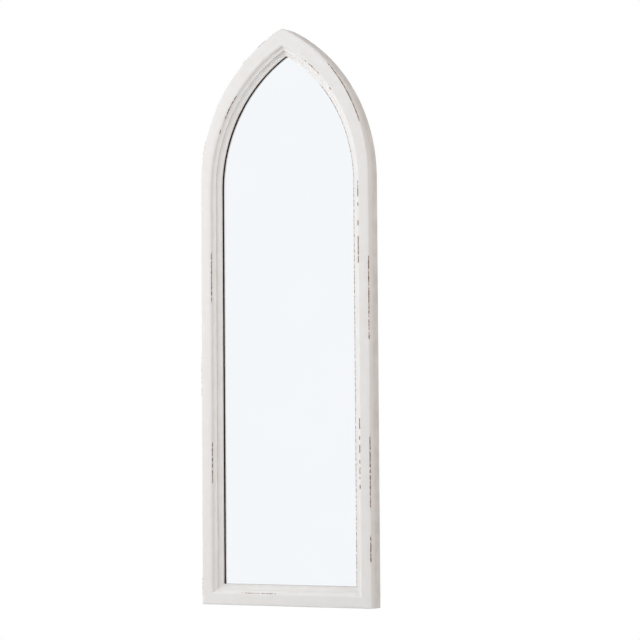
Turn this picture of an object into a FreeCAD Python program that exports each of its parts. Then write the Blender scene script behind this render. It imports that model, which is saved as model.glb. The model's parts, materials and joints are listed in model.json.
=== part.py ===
import FreeCAD, Part
import os
import Sketcher

# Wall mirror with a pointed arch: a mitred double-cove moulding round a silvered pane,
# closed at the back by a board under turn buttons and hung on two ring hangers.
# X runs to the right as seen from the front, Y from the front to the wall, Z up.
# The origin lies on the wall, midway between the two hanger pivots. Lengths are millimetres.

SIZES = {
    # Frame outline
    "overall_width": "300",
    "overall_height": "900",
    "arch_centre_offset": "118",
    "arch_stilt": "6.5",
    # Moulding section, from the outer edge inwards
    "edge_ease": "2.5",
    "face_width": "19.5",
    "face_roll_width": "4",
    "face_roll_drop": "1.5",
    "upper_cove_radius": "4.9",
    "ridge_land": "0.6",
    "cove_quirk": "0.5",
    "lower_cove_radius": "5.7",
    "nose_land": "1.3",
    "nose_thickness": "3.4",
    "lip_overlap": "7",
    # Pane, liner and board in the rabbet
    "glass_thickness": "3",
    "liner_thickness": "5",
    "board_thickness": "6",
    "pane_clearance": "1.5",
    "setting_block_length": "25",
    # Joinery
    "dowel_diameter": "6",
    "dowel_length": "30",
    "glue_gap": "0.1",
    "nail_run": "3",
    "nail_span": "4",
    "nail_thickness": "0.8",
    "nail_height": "8",
    # Wood screws
    "screw_diameter": "3.5",
    "screw_length": "14",
    "screw_tip_length": "4",
    "screw_head_diameter": "7",
    "screw_head_height": "2",
    "screw_head_rim": "0.7",
    "thread_gap": "0.1",
    # Turn buttons
    "button_thickness": "1.2",
    "button_root_radius": "6.5",
    "button_tip_radius": "4.5",
    "button_reach": "20",
    "button_hole_gap": "0.25",
    "button_swivel_gap": "0.1",
    "finger_tab_height": "1.6",
    "finger_tab_wall": "1.2",
    "finger_tab_angle": "60",
    # Ring hangers
    "hanger_drop": "25",
    "strap_width": "12",
    "strap_length": "44",
    "strap_thickness": "1.2",
    "strap_corner_radius": "4",
    "strap_hole_drop": "22",
    "strap_hole_margin": "7",
    "strap_hole_gap": "0.25",
    "eye_gap": "0.25",
    "eye_lap_angle": "70",
    "ring_wire_diameter": "2.8",
    "ring_end_play": "0.4",
    "ring_corner_radius": "2.6",
    "ring_side_length": "3",
    # Rubber bumpers against the wall
    "bumper_diameter": "12",
    "bumper_height": "6.5",
    "bumper_edge_radius": "1",
    "bumper_rise": "42",
    # How far every cut runs past the piece that it cuts
    "cut_overrun": "5",
}

# Places along the members, as shares of the stile, of the arch's sweep,
# of the section's depth, of a mitre's length and of half the pane's width
STILE_BUTTON_SHARES = {"lower": 0.16, "middle": 0.48, "upper": 0.80}
ARCH_BUTTON_SHARE = 0.40
ARCH_BUMPER_SHARE = 0.78
DOWEL_DEPTH_SHARES = (0.3, 0.7)
NAIL_SHARES = (0.22, 0.62)
SETTING_BLOCK_SHARE = 0.55

SIDES = {"left": -1, "right": 1}

# Sizes that follow from the driving ones
HALF_WIDTH = "(Sizes.overall_width / 2)"
ARCH_RADIUS = f"({HALF_WIDTH} + Sizes.arch_centre_offset)"
ARCH_RISE = f"sqrt({ARCH_RADIUS} ^ 2 - Sizes.arch_centre_offset ^ 2)"
ARCH_SWEEP = f"acos(Sizes.arch_centre_offset / {ARCH_RADIUS})"
STILE_LENGTH = f"(Sizes.overall_height - Sizes.arch_stilt - {ARCH_RISE})"
SPRING_Z = "Sizes.hanger_drop"
OUTER_SPRING_Z = f"({SPRING_Z} + Sizes.arch_stilt)"
TOP_Z = f"({OUTER_SPRING_Z} + {ARCH_RISE})"
BOTTOM_Z = f"({SPRING_Z} - {STILE_LENGTH})"

COVE_ACROSS = "(Sizes.face_width + Sizes.upper_cove_radius)"
COVE_BACK = "(Sizes.face_roll_drop + Sizes.upper_cove_radius)"
RIDGE_ACROSS = f"({COVE_ACROSS} + Sizes.ridge_land)"
LOWER_COVE_ACROSS = f"({RIDGE_ACROSS} + Sizes.lower_cove_radius)"
LOWER_COVE_BACK = f"({COVE_BACK} + Sizes.cove_quirk + Sizes.lower_cove_radius)"
ROLL_RADIUS = "((Sizes.face_roll_width ^ 2 + Sizes.face_roll_drop ^ 2) / (2 * Sizes.face_roll_drop))"
FRAME_WIDTH = f"({LOWER_COVE_ACROSS} + Sizes.nose_land)"
BACK_WIDTH = f"({FRAME_WIDTH} - Sizes.lip_overlap)"
GLASS_DEPTH = f"({LOWER_COVE_BACK} + Sizes.nose_thickness)"
FRAME_DEPTH = f"({GLASS_DEPTH} + Sizes.glass_thickness + Sizes.liner_thickness + Sizes.board_thickness)"
BACK_Y = "(-Sizes.bumper_height)"
FRONT_Y = f"({BACK_Y} - {FRAME_DEPTH})"
GLASS_Y = f"({FRONT_Y} + {GLASS_DEPTH})"
PANE_INSET = f"({BACK_WIDTH} + Sizes.pane_clearance)"

# All hardware sits on the centre line of the frame's back face
HARDWARE_INSET = f"({BACK_WIDTH} / 2)"
HARDWARE_X = f"({HALF_WIDTH} - {HARDWARE_INSET})"
HARDWARE_RADIUS = f"({ARCH_RADIUS} - {HARDWARE_INSET})"

SCREW_RADIUS = "(Sizes.screw_diameter / 2)"
BUTTON_SEAT_Y = f"({BACK_Y} + Sizes.button_swivel_gap)"
BUTTON_SCREW_Y = f"({BUTTON_SEAT_Y} + Sizes.button_thickness + Sizes.button_swivel_gap)"
WIRE_RADIUS = "(Sizes.ring_wire_diameter / 2)"
EYE_RADIUS = f"({WIRE_RADIUS} + Sizes.eye_gap)"
EYE_OUTER_RADIUS = f"({EYE_RADIUS} + Sizes.strap_thickness)"

# Directions of travel round an arc
LEFT_TURN = 1
RIGHT_TURN = -1

doc = FreeCAD.newDocument("arched_mirror")
sheet = doc.addObject("Spreadsheet::Sheet", "Sizes")
for row, (alias, size) in enumerate(SIZES.items(), start=1):
    sheet.set(f"A{row}", alias)
    sheet.set(f"B{row}", size)
    sheet.setAlias(f"B{row}", alias)
doc.recompute()


def value(expression):
    """Number that an expression has at the present sizes."""
    result = sheet.evalExpression(expression)
    return float(getattr(result, "Value", result))


def new_body(name):
    """Empty body for one piece."""
    return doc.addObject("PartDesign::Body", name)


def new_sketch(body, plane, offset=("0", "0", "0"), turn=0):
    """Sketch on one of the body's origin planes, moved in that plane's axes and turned about Y."""
    sketch = body.newObject("Sketcher::SketchObject", f"{body.Name}_sketch")
    support = next(feature for feature in body.Origin.OriginFeatures if feature.Role == plane)
    sketch.AttachmentSupport = [(support, "")]
    sketch.MapMode = "FlatFace"
    rotation = FreeCAD.Rotation(FreeCAD.Vector(0, 1, 0), turn)
    sketch.AttachmentOffset = FreeCAD.Placement(FreeCAD.Vector(), rotation)
    for axis, distance in zip("xyz", offset):
        sketch.setExpression(f"AttachmentOffset.Base.{axis}", distance)
    return sketch


def bind(sketch, expression, kind, *references):
    """Dimension of a sketch, bound to an expression."""
    constraint = Sketcher.Constraint(kind, *references, value(expression))
    index = sketch.addConstraint(constraint)
    sketch.setExpression(f"Constraints[{index}]", expression)


def pin_point(sketch, edge, end, point):
    """Fix one end or the centre of an edge at a point given by two expressions."""
    for kind, coordinate in zip(("DistanceX", "DistanceY"), point):
        bind(sketch, coordinate, kind, -1, 1, edge, end)


def arc_between(start, end, radius, direction):
    """Arc of less than a half turn from start to end, bending to the left or to the right."""
    chord = end - start
    reach = max(radius ** 2 - (chord.Length / 2) ** 2, 0) ** 0.5
    aside = FreeCAD.Vector(-chord.y, chord.x, 0).normalize()
    centre = (start + end) / 2 + aside * reach * direction
    middle = centre - aside * radius * direction
    return Part.Arc(start, middle, end)


def draw_outline(sketch, corners, arcs=None, closed=True):
    """Chain of edges through corners; arcs maps an edge to its radius and direction of travel."""
    arcs = arcs or {}
    points = [FreeCAD.Vector(value(across), value(along), 0) for across, along in corners]
    count = len(corners) if closed else len(corners) - 1
    ends = []
    for index in range(count):
        start = points[index]
        end = points[(index + 1) % len(points)]
        if index in arcs:
            radius, direction = arcs[index]
            edge = sketch.addGeometry(arc_between(start, end, value(radius), direction))
            bind(sketch, radius, "Radius", edge)
            ends.append((edge, 1, 2) if direction == LEFT_TURN else (edge, 2, 1))
        else:
            edge = sketch.addGeometry(Part.LineSegment(start, end))
            ends.append((edge, 1, 2))
    for index, (edge, first, last) in enumerate(ends):
        pin_point(sketch, edge, first, corners[index])
        following = ends[(index + 1) % count]
        sketch.addConstraint(Sketcher.Constraint("Coincident", edge, last, following[0], following[1]))


def draw_circle(sketch, centre, radius):
    """Circle about a point given by two expressions."""
    point = FreeCAD.Vector(value(centre[0]), value(centre[1]), 0)
    edge = sketch.addGeometry(Part.Circle(point, FreeCAD.Vector(0, 0, 1), value(radius)))
    pin_point(sketch, edge, 3, centre)
    bind(sketch, radius, "Radius", edge)


def add_pad(body, sketch, length, reverse=False, both_ways=False):
    """Solid pushed out of a sketch."""
    pad = body.newObject("PartDesign::Pad", f"{body.Name}_pad")
    pad.Profile = sketch
    pad.setExpression("Length", length)
    pad.Reversed = reverse
    pad.SideType = "Symmetric" if both_ways else "One side"
    return pad


def add_pocket(body, sketch, depth=None, reverse=False):
    """Cut pushed out of a sketch: to a depth, or through the whole piece both ways."""
    pocket = body.newObject("PartDesign::Pocket", f"{body.Name}_pocket")
    pocket.Profile = sketch
    if depth is None:
        pocket.Type = "ThroughAll"
        pocket.SideType = "Symmetric"
    else:
        pocket.setExpression("Length", depth)
        pocket.Reversed = reverse
    return pocket


def add_revolution(body, sketch, axis, angle="360", reverse=False):
    """Solid turned out of a sketch about one of its axes."""
    turned = body.newObject("PartDesign::Revolution", f"{body.Name}_turned")
    turned.Profile = sketch
    turned.ReferenceAxis = (sketch, [axis])
    turned.setExpression("Angle", angle)
    turned.Reversed = reverse
    return turned


def group(name, members):
    """One node made of several like solids."""
    compound = doc.addObject("Part::Compound", name)
    compound.Links = members
    return compound


def place_on_back(piece, x, y, z, inward="0 deg"):
    """Stand a piece's Z axis out of the back face, with its X axis at an angle from level."""
    turn = f"rotation(vector(0; 1; 0); -({inward})) * rotation(vector(1; 0; 0); -90)"
    piece.setExpression("Placement", f"placement(vector({x}; {y}; {z}); {turn})")


def arch_point(side, share):
    """Point on the centre line of an arch's back face, at a share of its sweep from the springing."""
    angle = f"({share} * {ARCH_SWEEP})"
    x = f"({side} * ({HARDWARE_RADIUS} * cos({angle}) - Sizes.arch_centre_offset))"
    z = f"({SPRING_Z} + {HARDWARE_RADIUS} * sin({angle}))"
    return x, z


def button_places():
    """Turn buttons by name: where each pivots, and which way it points."""
    places = {"bottom": ("0", f"({BOTTOM_Z} + {HARDWARE_INSET})", "90 deg")}
    for name, side in SIDES.items():
        inward = "0 deg" if side < 0 else "180 deg"
        for level, share in STILE_BUTTON_SHARES.items():
            height = f"({BOTTOM_Z} + {share} * {STILE_LENGTH})"
            places[f"{name}_{level}"] = (f"({side} * {HARDWARE_X})", height, inward)
        x, z = arch_point(side, ARCH_BUTTON_SHARE)
        places[f"{name}_arch"] = (x, z, f"({inward} + {side} * {ARCH_BUTTON_SHARE} * {ARCH_SWEEP})")
    return places


def strap_hole_heights():
    """Heights of the two screws of a hanger strap: one below the ring, one above the strap's end."""
    return "(-Sizes.strap_hole_drop)", "(Sizes.strap_hole_margin - Sizes.strap_length)"


# Frame members

def moulding_sketch(body, x, z, turn, spare="0"):
    """Moulding section: across from the outer edge, and back from the front face.

    The face rolls over into two stacked coves, and the lip's nose covers the pane's edge.
    With spare width the outer edge is left square and that much too wide, to be trimmed later.
    A construction line marks the axis that an arch turns about.
    """
    sketch = new_sketch(body, "XY_Plane", (x, FRONT_Y, z), turn)
    if spare == "0":
        outer_edge = [("0", FRAME_DEPTH), ("0", "Sizes.edge_ease"), ("Sizes.edge_ease", "0")]
        arcs = {1: ("Sizes.edge_ease", LEFT_TURN)}
    else:
        outer_edge = [(f"(-{spare})", FRAME_DEPTH), (f"(-{spare})", "0")]
        arcs = {}
    face_end = len(outer_edge)
    arcs[face_end] = (ROLL_RADIUS, LEFT_TURN)
    arcs[face_end + 1] = ("Sizes.upper_cove_radius", RIGHT_TURN)
    arcs[face_end + 4] = ("Sizes.lower_cove_radius", RIGHT_TURN)
    corners = outer_edge + [
        ("(Sizes.face_width - Sizes.face_roll_width)", "0"),
        ("Sizes.face_width", "Sizes.face_roll_drop"),
        (COVE_ACROSS, COVE_BACK),
        (RIDGE_ACROSS, COVE_BACK),
        (RIDGE_ACROSS, f"({COVE_BACK} + Sizes.cove_quirk)"),
        (LOWER_COVE_ACROSS, LOWER_COVE_BACK),
        (FRAME_WIDTH, LOWER_COVE_BACK),
        (FRAME_WIDTH, GLASS_DEPTH),
        (BACK_WIDTH, GLASS_DEPTH),
        (BACK_WIDTH, FRAME_DEPTH),
    ]
    draw_outline(sketch, corners, arcs)
    ends = [FreeCAD.Vector(value(ARCH_RADIUS), value(back), 0) for back in ("0", FRAME_DEPTH)]
    axis = sketch.addGeometry(Part.LineSegment(*ends), True)
    pin_point(sketch, axis, 1, (ARCH_RADIUS, "0"))
    pin_point(sketch, axis, 2, (ARCH_RADIUS, FRAME_DEPTH))
    return sketch


def cut_mitre(body, sides, keep_stile):
    """Cut the bottom corners of a stile or rail along the diagonal from the outer corner."""
    sketch = new_sketch(body, "XZ_Plane")
    low = f"({BOTTOM_Z} - Sizes.cut_overrun)"
    high = f"({BOTTOM_Z} + {FRAME_WIDTH} + Sizes.cut_overrun)"
    for side in sides:
        outer = f"({side} * ({HALF_WIDTH} + Sizes.cut_overrun))"
        inner = f"({side} * ({HALF_WIDTH} - {FRAME_WIDTH} - Sizes.cut_overrun))"
        square = (inner, low) if keep_stile else (outer, high)
        draw_outline(sketch, [(outer, low), square, (inner, high)])
    add_pocket(body, sketch)


def drill_dowel_holes(body, side, upwards):
    """Dowel holes in the joint at the springing line."""
    sketch = new_sketch(body, "XY_Plane", ("0", "0", SPRING_Z))
    for share in DOWEL_DEPTH_SHARES:
        centre = (f"({side} * {HARDWARE_X})", f"({FRONT_Y} + {share} * {FRAME_DEPTH})")
        draw_circle(sketch, centre, "(Sizes.dowel_diameter / 2 + Sizes.glue_gap)")
    add_pocket(body, sketch, "(Sizes.dowel_length / 2 + Sizes.glue_gap)", reverse=upwards)


def drill_screw_holes(body, centres):
    """Screw holes into the back face."""
    sketch = new_sketch(body, "XZ_Plane", ("0", "0", "Sizes.bumper_height"))
    for centre in centres:
        draw_circle(sketch, centre, f"({SCREW_RADIUS} + Sizes.thread_gap)")
    add_pocket(body, sketch, "Sizes.screw_length", reverse=True)


def with_nail_slots(name, blank, nails):
    """Finished member: its blank with the slots that the mitre nails cut for themselves."""
    member = doc.addObject("Part::Cut", name)
    member.Base = blank
    member.Tool = nails
    return member


def make_stile(name, side, nails):
    """Upright from the bottom mitre to the springing line."""
    body = new_body(f"{name}_stile_blank")
    if side < 0:
        sketch = moulding_sketch(body, f"(-{HALF_WIDTH})", BOTTOM_Z, 0)
    else:
        sketch = moulding_sketch(body, HALF_WIDTH, SPRING_Z, 180)
    add_pad(body, sketch, STILE_LENGTH)
    cut_mitre(body, [side], keep_stile=True)
    drill_dowel_holes(body, side, upwards=False)
    places = button_places()
    holes = [places[f"{name}_{level}"][:2] for level in STILE_BUTTON_SHARES]
    holes += [(f"({side} * {HARDWARE_X})", height) for height in strap_hole_heights()]
    drill_screw_holes(body, holes)
    return with_nail_slots(f"{name}_stile", body, nails)


def make_rail(nails):
    """Bottom rail, mitred at both ends."""
    body = new_body("bottom_rail_blank")
    sketch = moulding_sketch(body, HALF_WIDTH, BOTTOM_Z, -90)
    add_pad(body, sketch, "Sizes.overall_width")
    cut_mitre(body, SIDES.values(), keep_stile=False)
    drill_screw_holes(body, [button_places()["bottom"][:2]])
    return with_nail_slots("bottom_rail", body, nails)


def ease_outer_edge(body, base, side):
    """Round the outer front edge of an arch to match the stile's."""
    doc.recompute()
    centre_x = -side * value("Sizes.arch_centre_offset")
    centre = FreeCAD.Vector(centre_x, value(FRONT_Y), value(OUTER_SPRING_Z))
    near = Part.Precision.confusion()
    names = []
    for index, edge in enumerate(base.Shape.Edges, start=1):
        middle = edge.valueAt((edge.FirstParameter + edge.LastParameter) / 2)
        on_front = all(abs(point.y - centre.y) < near for point in (middle, edge.Vertexes[0].Point))
        on_arc = abs(middle.distanceToPoint(centre) - value(ARCH_RADIUS)) < near
        on_stilt = abs(middle.x - side * value(HALF_WIDTH)) < near
        if on_front and (on_arc or on_stilt):
            names.append(f"Edge{index}")
    eased = body.newObject("PartDesign::Fillet", f"{body.Name}_eased")
    eased.Base = (base, names)
    eased.setExpression("Radius", "Sizes.edge_ease")


def make_arch(name, side, nails):
    """Half of the pointed arch, turned from the springing line and mitred at the apex.

    The outer edge rises straight by the stilt before it curves, so the face widens towards
    the apex while the coves keep their section.
    """
    body = new_body(f"{name}_arch_blank")
    spare = "(Sizes.arch_stilt + Sizes.cut_overrun)"
    sketch = moulding_sketch(body, f"({side} * {HALF_WIDTH})", SPRING_Z, 0 if side < 0 else 180, spare)
    past_apex = f"atan({spare} / {ARCH_RADIUS})"
    add_revolution(body, sketch, "Axis0", f"{ARCH_SWEEP} + {past_apex}", reverse=side > 0)

    waste = new_sketch(body, "XZ_Plane")
    edge = f"({side} * {HALF_WIDTH})"
    outside = f"({side} * ({HALF_WIDTH} + {spare} + Sizes.cut_overrun))"
    beyond = f"({-side} * ({FRAME_WIDTH} + {spare}))"
    low = f"({SPRING_Z} - Sizes.cut_overrun)"
    high = f"({TOP_Z} + {spare} + Sizes.cut_overrun)"
    corners = [
        (edge, low),
        (edge, OUTER_SPRING_Z),
        ("0", TOP_Z),
        ("0", SPRING_Z),
        (beyond, SPRING_Z),
        (beyond, high),
        (outside, high),
        (outside, low),
    ]
    draw_outline(waste, corners, {1: (ARCH_RADIUS, side)})
    ease_outer_edge(body, add_pocket(body, waste), side)
    drill_dowel_holes(body, side, upwards=True)
    drill_screw_holes(body, [arch_point(side, ARCH_BUTTON_SHARE)])
    return with_nail_slots(f"{name}_arch", body, nails)


def make_dowels():
    """Glued dowels across the two joints at the springing line."""
    dowels = []
    for name, side in SIDES.items():
        for share in DOWEL_DEPTH_SHARES:
            dowel = doc.addObject("Part::Cylinder", f"{name}_dowel")
            dowel.setExpression("Radius", "Sizes.dowel_diameter / 2")
            dowel.setExpression("Height", "Sizes.dowel_length")
            dowel.setExpression("Placement.Base.x", f"{side} * {HARDWARE_X}")
            dowel.setExpression("Placement.Base.y", f"{FRONT_Y} + {share} * {FRAME_DEPTH}")
            dowel.setExpression("Placement.Base.z", f"{SPRING_Z} - Sizes.dowel_length / 2")
            dowels.append(dowel)
    return group("springing_dowels", dowels)


def make_nail(x, z, inward):
    """V-shaped nail driven flush into the back, with its point line on the mitre."""
    body = new_body("v_nail")
    sketch = new_sketch(body, "XY_Plane")
    tail = "(Sizes.nail_run + Sizes.nail_thickness)"
    span = "Sizes.nail_span"
    corners = [
        ("0", "0"),
        ("Sizes.nail_run", f"(-{span})"),
        (tail, f"(-{span})"),
        ("Sizes.nail_thickness", "0"),
        (tail, span),
        ("Sizes.nail_run", span),
    ]
    draw_outline(sketch, corners)
    add_pad(body, sketch, "Sizes.nail_height", reverse=True)
    place_on_back(body, x, BACK_Y, z, inward)
    return body


def make_nails():
    """Nails in the two bottom mitres and in the mitre at the apex."""
    nails = []
    apex_low = f"({SPRING_Z} + sqrt(({ARCH_RADIUS} - {BACK_WIDTH}) ^ 2 - Sizes.arch_centre_offset ^ 2))"
    for share in NAIL_SHARES:
        for side in SIDES.values():
            inset = f"({share} * {BACK_WIDTH})"
            x = f"({side} * ({HALF_WIDTH} - {inset}))"
            nails.append(make_nail(x, f"({BOTTOM_Z} + {inset})", "45 deg" if side < 0 else "135 deg"))
        nails.append(make_nail("0", f"({TOP_Z} - {share} * ({TOP_Z} - {apex_low}))", "-90 deg"))
    return group("mitre_v_nails", nails)


# Pane, liner and board

def make_pane(name, back_y, thickness):
    """Arched sheet that lies in the rabbet with its back at a depth."""
    body = new_body(name)
    sketch = new_sketch(body, "XZ_Plane", ("0", "0", f"(-{back_y})"))
    edge = f"({HALF_WIDTH} - {PANE_INSET})"
    low = f"({BOTTOM_Z} + {PANE_INSET})"
    radius = f"({ARCH_RADIUS} - {PANE_INSET})"
    apex = f"({SPRING_Z} + sqrt({radius} ^ 2 - Sizes.arch_centre_offset ^ 2))"
    corners = [(f"(-{edge})", low), (edge, low), (edge, SPRING_Z), ("0", apex), (f"(-{edge})", SPRING_Z)]
    draw_outline(sketch, corners, {2: (radius, LEFT_TURN), 3: (radius, LEFT_TURN)})
    add_pad(body, sketch, thickness)
    return body


def make_panes():
    """Glass, cushioning liner and back board, in the order in which they go into the rabbet."""
    glass_back = f"({GLASS_Y} + Sizes.glass_thickness)"
    liner_back = f"({glass_back} + Sizes.liner_thickness)"
    return [
        make_pane("mirror_glass", glass_back, "Sizes.glass_thickness"),
        make_pane("liner_sheet", liner_back, "Sizes.liner_thickness"),
        make_pane("back_board", BACK_Y, "Sizes.board_thickness"),
    ]


def make_setting_blocks():
    """Blocks that carry the lower edge of the glass on the rail."""
    blocks = []
    for name, side in SIDES.items():
        block = doc.addObject("Part::Box", f"{name}_setting_block")
        block.setExpression("Length", "Sizes.setting_block_length")
        block.setExpression("Width", "Sizes.glass_thickness")
        block.setExpression("Height", "Sizes.pane_clearance")
        middle = f"{side} * {SETTING_BLOCK_SHARE} * ({HALF_WIDTH} - {PANE_INSET})"
        block.setExpression("Placement.Base.x", f"{middle} - Sizes.setting_block_length / 2")
        block.setExpression("Placement.Base.y", GLASS_Y)
        block.setExpression("Placement.Base.z", f"{BOTTOM_Z} + {BACK_WIDTH}")
        blocks.append(block)
    return group("glass_setting_blocks", blocks)


# Turn buttons and screws

def make_turn_button(name, place):
    """Tapered plate that turns on its screw, with the rim of its tip raised as a finger tab."""
    body = new_body(name)
    root = "Sizes.button_root_radius"
    tip = "Sizes.button_tip_radius"
    reach = "Sizes.button_reach"
    slope = f"(({root} - {tip}) / {reach})"
    level = f"sqrt(1 - {slope} ^ 2)"
    plate = new_sketch(body, "XY_Plane")
    corners = [
        (f"({root} * {slope})", f"({root} * {level})"),
        (f"(-{root})", "0"),
        (f"({root} * {slope})", f"(-{root} * {level})"),
        (f"({reach} + {tip} * {slope})", f"(-{tip} * {level})"),
        (f"({reach} + {tip})", "0"),
        (f"({reach} + {tip} * {slope})", f"({tip} * {level})"),
    ]
    arcs = {edge: (root, LEFT_TURN) for edge in (0, 1)}
    arcs.update({edge: (tip, LEFT_TURN) for edge in (3, 4)})
    draw_outline(plate, corners, arcs)
    add_pad(body, plate, "Sizes.button_thickness")

    tab = new_sketch(body, "XY_Plane", ("0", "0", "Sizes.button_thickness"))
    inner = f"({tip} - Sizes.finger_tab_wall)"
    cosine = "cos(Sizes.finger_tab_angle)"
    sine = "sin(Sizes.finger_tab_angle)"
    corners = [
        (f"({reach} + {tip} * {cosine})", f"(-{tip} * {sine})"),
        (f"({reach} + {tip} * {cosine})", f"({tip} * {sine})"),
        (f"({reach} + {inner} * {cosine})", f"({inner} * {sine})"),
        (f"({reach} + {inner} * {cosine})", f"(-{inner} * {sine})"),
    ]
    draw_outline(tab, corners, {0: (tip, LEFT_TURN), 2: (inner, RIGHT_TURN)})
    add_pad(body, tab, "Sizes.finger_tab_height")

    hole = new_sketch(body, "XY_Plane")
    draw_circle(hole, ("0", "0"), f"({SCREW_RADIUS} + Sizes.button_hole_gap)")
    add_pocket(body, hole)
    x, z, inward = place
    place_on_back(body, x, BUTTON_SEAT_Y, z, inward)
    return body


def make_screw(x, y, z):
    """Wood screw with a pan head, standing on the underside of its head."""
    body = new_body("screw")
    sketch = new_sketch(body, "XZ_Plane")
    head = "(Sizes.screw_head_diameter / 2)"
    crown = "(Sizes.screw_head_height - Sizes.screw_head_rim)"
    corners = [
        ("0", "(-Sizes.screw_length)"),
        (SCREW_RADIUS, "(Sizes.screw_tip_length - Sizes.screw_length)"),
        (SCREW_RADIUS, "0"),
        (head, "0"),
        (head, "Sizes.screw_head_rim"),
        ("0", "Sizes.screw_head_height"),
    ]
    crown_radius = f"(({head} ^ 2 + {crown} ^ 2) / (2 * {crown}))"
    draw_outline(sketch, corners, {4: (crown_radius, LEFT_TURN)})
    add_revolution(body, sketch, "V_Axis")
    place_on_back(body, x, y, z)
    return body


def make_button_screws():
    """One screw through each turn button."""
    screws = [make_screw(x, BUTTON_SCREW_Y, z) for x, z, _ in button_places().values()]
    return group("turn_button_screws", screws)


# Ring hangers

def make_strap(name, side):
    """Hanger strap: a plate on the back of a stile, rolled into an eye round the ring's bar."""
    body = new_body(name)
    profile = new_sketch(body, "YZ_Plane")
    outer = EYE_OUTER_RADIUS
    cosine = "cos(Sizes.eye_lap_angle)"
    sine = "sin(Sizes.eye_lap_angle)"
    corners = [
        ("0", "(-Sizes.strap_length)"),
        ("0", "0"),
        (outer, outer),
        (f"(2 * {outer})", "0"),
        (f"({outer} + {outer} * {cosine})", f"(-{outer} * {sine})"),
        (f"({outer} + {EYE_RADIUS} * {cosine})", f"(-{EYE_RADIUS} * {sine})"),
        (f"({outer} + {EYE_RADIUS})", "0"),
        (outer, EYE_RADIUS),
        ("Sizes.strap_thickness", "0"),
        ("Sizes.strap_thickness", "(-Sizes.strap_length)"),
    ]
    arcs = {edge: (outer, RIGHT_TURN) for edge in (1, 2, 3)}
    arcs.update({edge: (EYE_RADIUS, LEFT_TURN) for edge in (5, 6, 7)})
    draw_outline(profile, corners, arcs)
    add_pad(body, profile, "Sizes.strap_width", both_ways=True)

    holes = new_sketch(body, "XZ_Plane")
    for height in strap_hole_heights():
        draw_circle(holes, ("0", height), f"({SCREW_RADIUS} + Sizes.strap_hole_gap)")
    drilled = add_pocket(body, holes)
    doc.recompute()

    low = value("-Sizes.strap_length")
    corner_edges = [
        f"Edge{index}"
        for index, edge in enumerate(drilled.Shape.Edges, start=1)
        if all(abs(vertex.Z - low) < Part.Precision.confusion() for vertex in edge.Vertexes)
        and abs(edge.Vertexes[0].X - edge.Vertexes[-1].X) < Part.Precision.confusion()
    ]
    rounded = body.newObject("PartDesign::Fillet", f"{name}_rounded")
    rounded.Base = (drilled, corner_edges)
    rounded.setExpression("Radius", "Sizes.strap_corner_radius")
    body.setExpression("Placement.Base.x", f"{side} * {HARDWARE_X}")
    body.setExpression("Placement.Base.y", BACK_Y)
    return body


def make_ring(name, side):
    """D-shaped wire ring whose straight bar turns in the strap's eye; it hangs down at rest."""
    body = new_body(name)
    corner = "Sizes.ring_corner_radius"
    straight = "(Sizes.strap_width / 2 + Sizes.ring_end_play)"
    half = f"({straight} + {corner})"
    side_end = f"(-({corner} + Sizes.ring_side_length))"
    spine = new_sketch(body, "XZ_Plane")
    corners = [
        ("0", "0"),
        (straight, "0"),
        (half, f"(-{corner})"),
        (half, side_end),
        ("0", f"({side_end} - {half})"),
        (f"(-{half})", side_end),
        (f"(-{half})", f"(-{corner})"),
        (f"(-{straight})", "0"),
    ]
    arcs = {edge: (corner, RIGHT_TURN) for edge in (1, 6)}
    arcs.update({edge: (half, RIGHT_TURN) for edge in (3, 4)})
    draw_outline(spine, corners, arcs)
    section = new_sketch(body, "YZ_Plane")
    draw_circle(section, ("0", "0"), WIRE_RADIUS)
    wire = body.newObject("PartDesign::AdditivePipe", f"{name}_wire")
    wire.Profile = section
    wire.Spine = (spine, [])
    body.setExpression("Placement.Base.x", f"{side} * {HARDWARE_X}")
    body.setExpression("Placement.Base.y", f"{BACK_Y} + {EYE_OUTER_RADIUS}")
    return body


def make_hanger_screws():
    """Two screws through each hanger strap."""
    seat_y = f"({BACK_Y} + Sizes.strap_thickness)"
    screws = [
        make_screw(f"({side} * {HARDWARE_X})", seat_y, height)
        for side in SIDES.values()
        for height in strap_hole_heights()
    ]
    return group("hanger_screws", screws)


# Wall bumpers

def make_bumper(x, z):
    """Round rubber bumper with an eased rim, whose flat end rests on the wall."""
    body = new_body("bumper")
    sketch = new_sketch(body, "XZ_Plane")
    radius = "(Sizes.bumper_diameter / 2)"
    rim = "Sizes.bumper_edge_radius"
    corners = [
        ("0", "0"),
        (radius, "0"),
        (radius, f"(Sizes.bumper_height - {rim})"),
        (f"({radius} - {rim})", "Sizes.bumper_height"),
        ("0", "Sizes.bumper_height"),
    ]
    draw_outline(sketch, corners, {2: (rim, LEFT_TURN)})
    add_revolution(body, sketch, "V_Axis")
    place_on_back(body, x, BACK_Y, z)
    return body


def make_bumpers():
    """Two bumpers low on the stiles and two high on the arch."""
    bumpers = []
    for side in SIDES.values():
        bumpers.append(make_bumper(f"({side} * {HARDWARE_X})", f"({BOTTOM_Z} + Sizes.bumper_rise)"))
        bumpers.append(make_bumper(*arch_point(side, ARCH_BUMPER_SHARE)))
    return group("wall_bumpers", bumpers)


def make_mirror():
    """All sub-parts of the mirror, each an object that becomes one node."""
    nails = make_nails()
    pieces = [make_rail(nails)]
    for name, side in SIDES.items():
        pieces.append(make_stile(name, side, nails))
        pieces.append(make_arch(name, side, nails))
        pieces.append(make_strap(f"{name}_hanger_strap", side))
        pieces.append(make_ring(f"{name}_hanger_ring", side))
    for place_name, place in button_places().items():
        pieces.append(make_turn_button(f"turn_button_{place_name}", place))
    pieces += make_panes()
    pieces += [nails, make_dowels(), make_setting_blocks()]
    pieces += [make_button_screws(), make_hanger_screws(), make_bumpers()]
    return pieces


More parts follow.
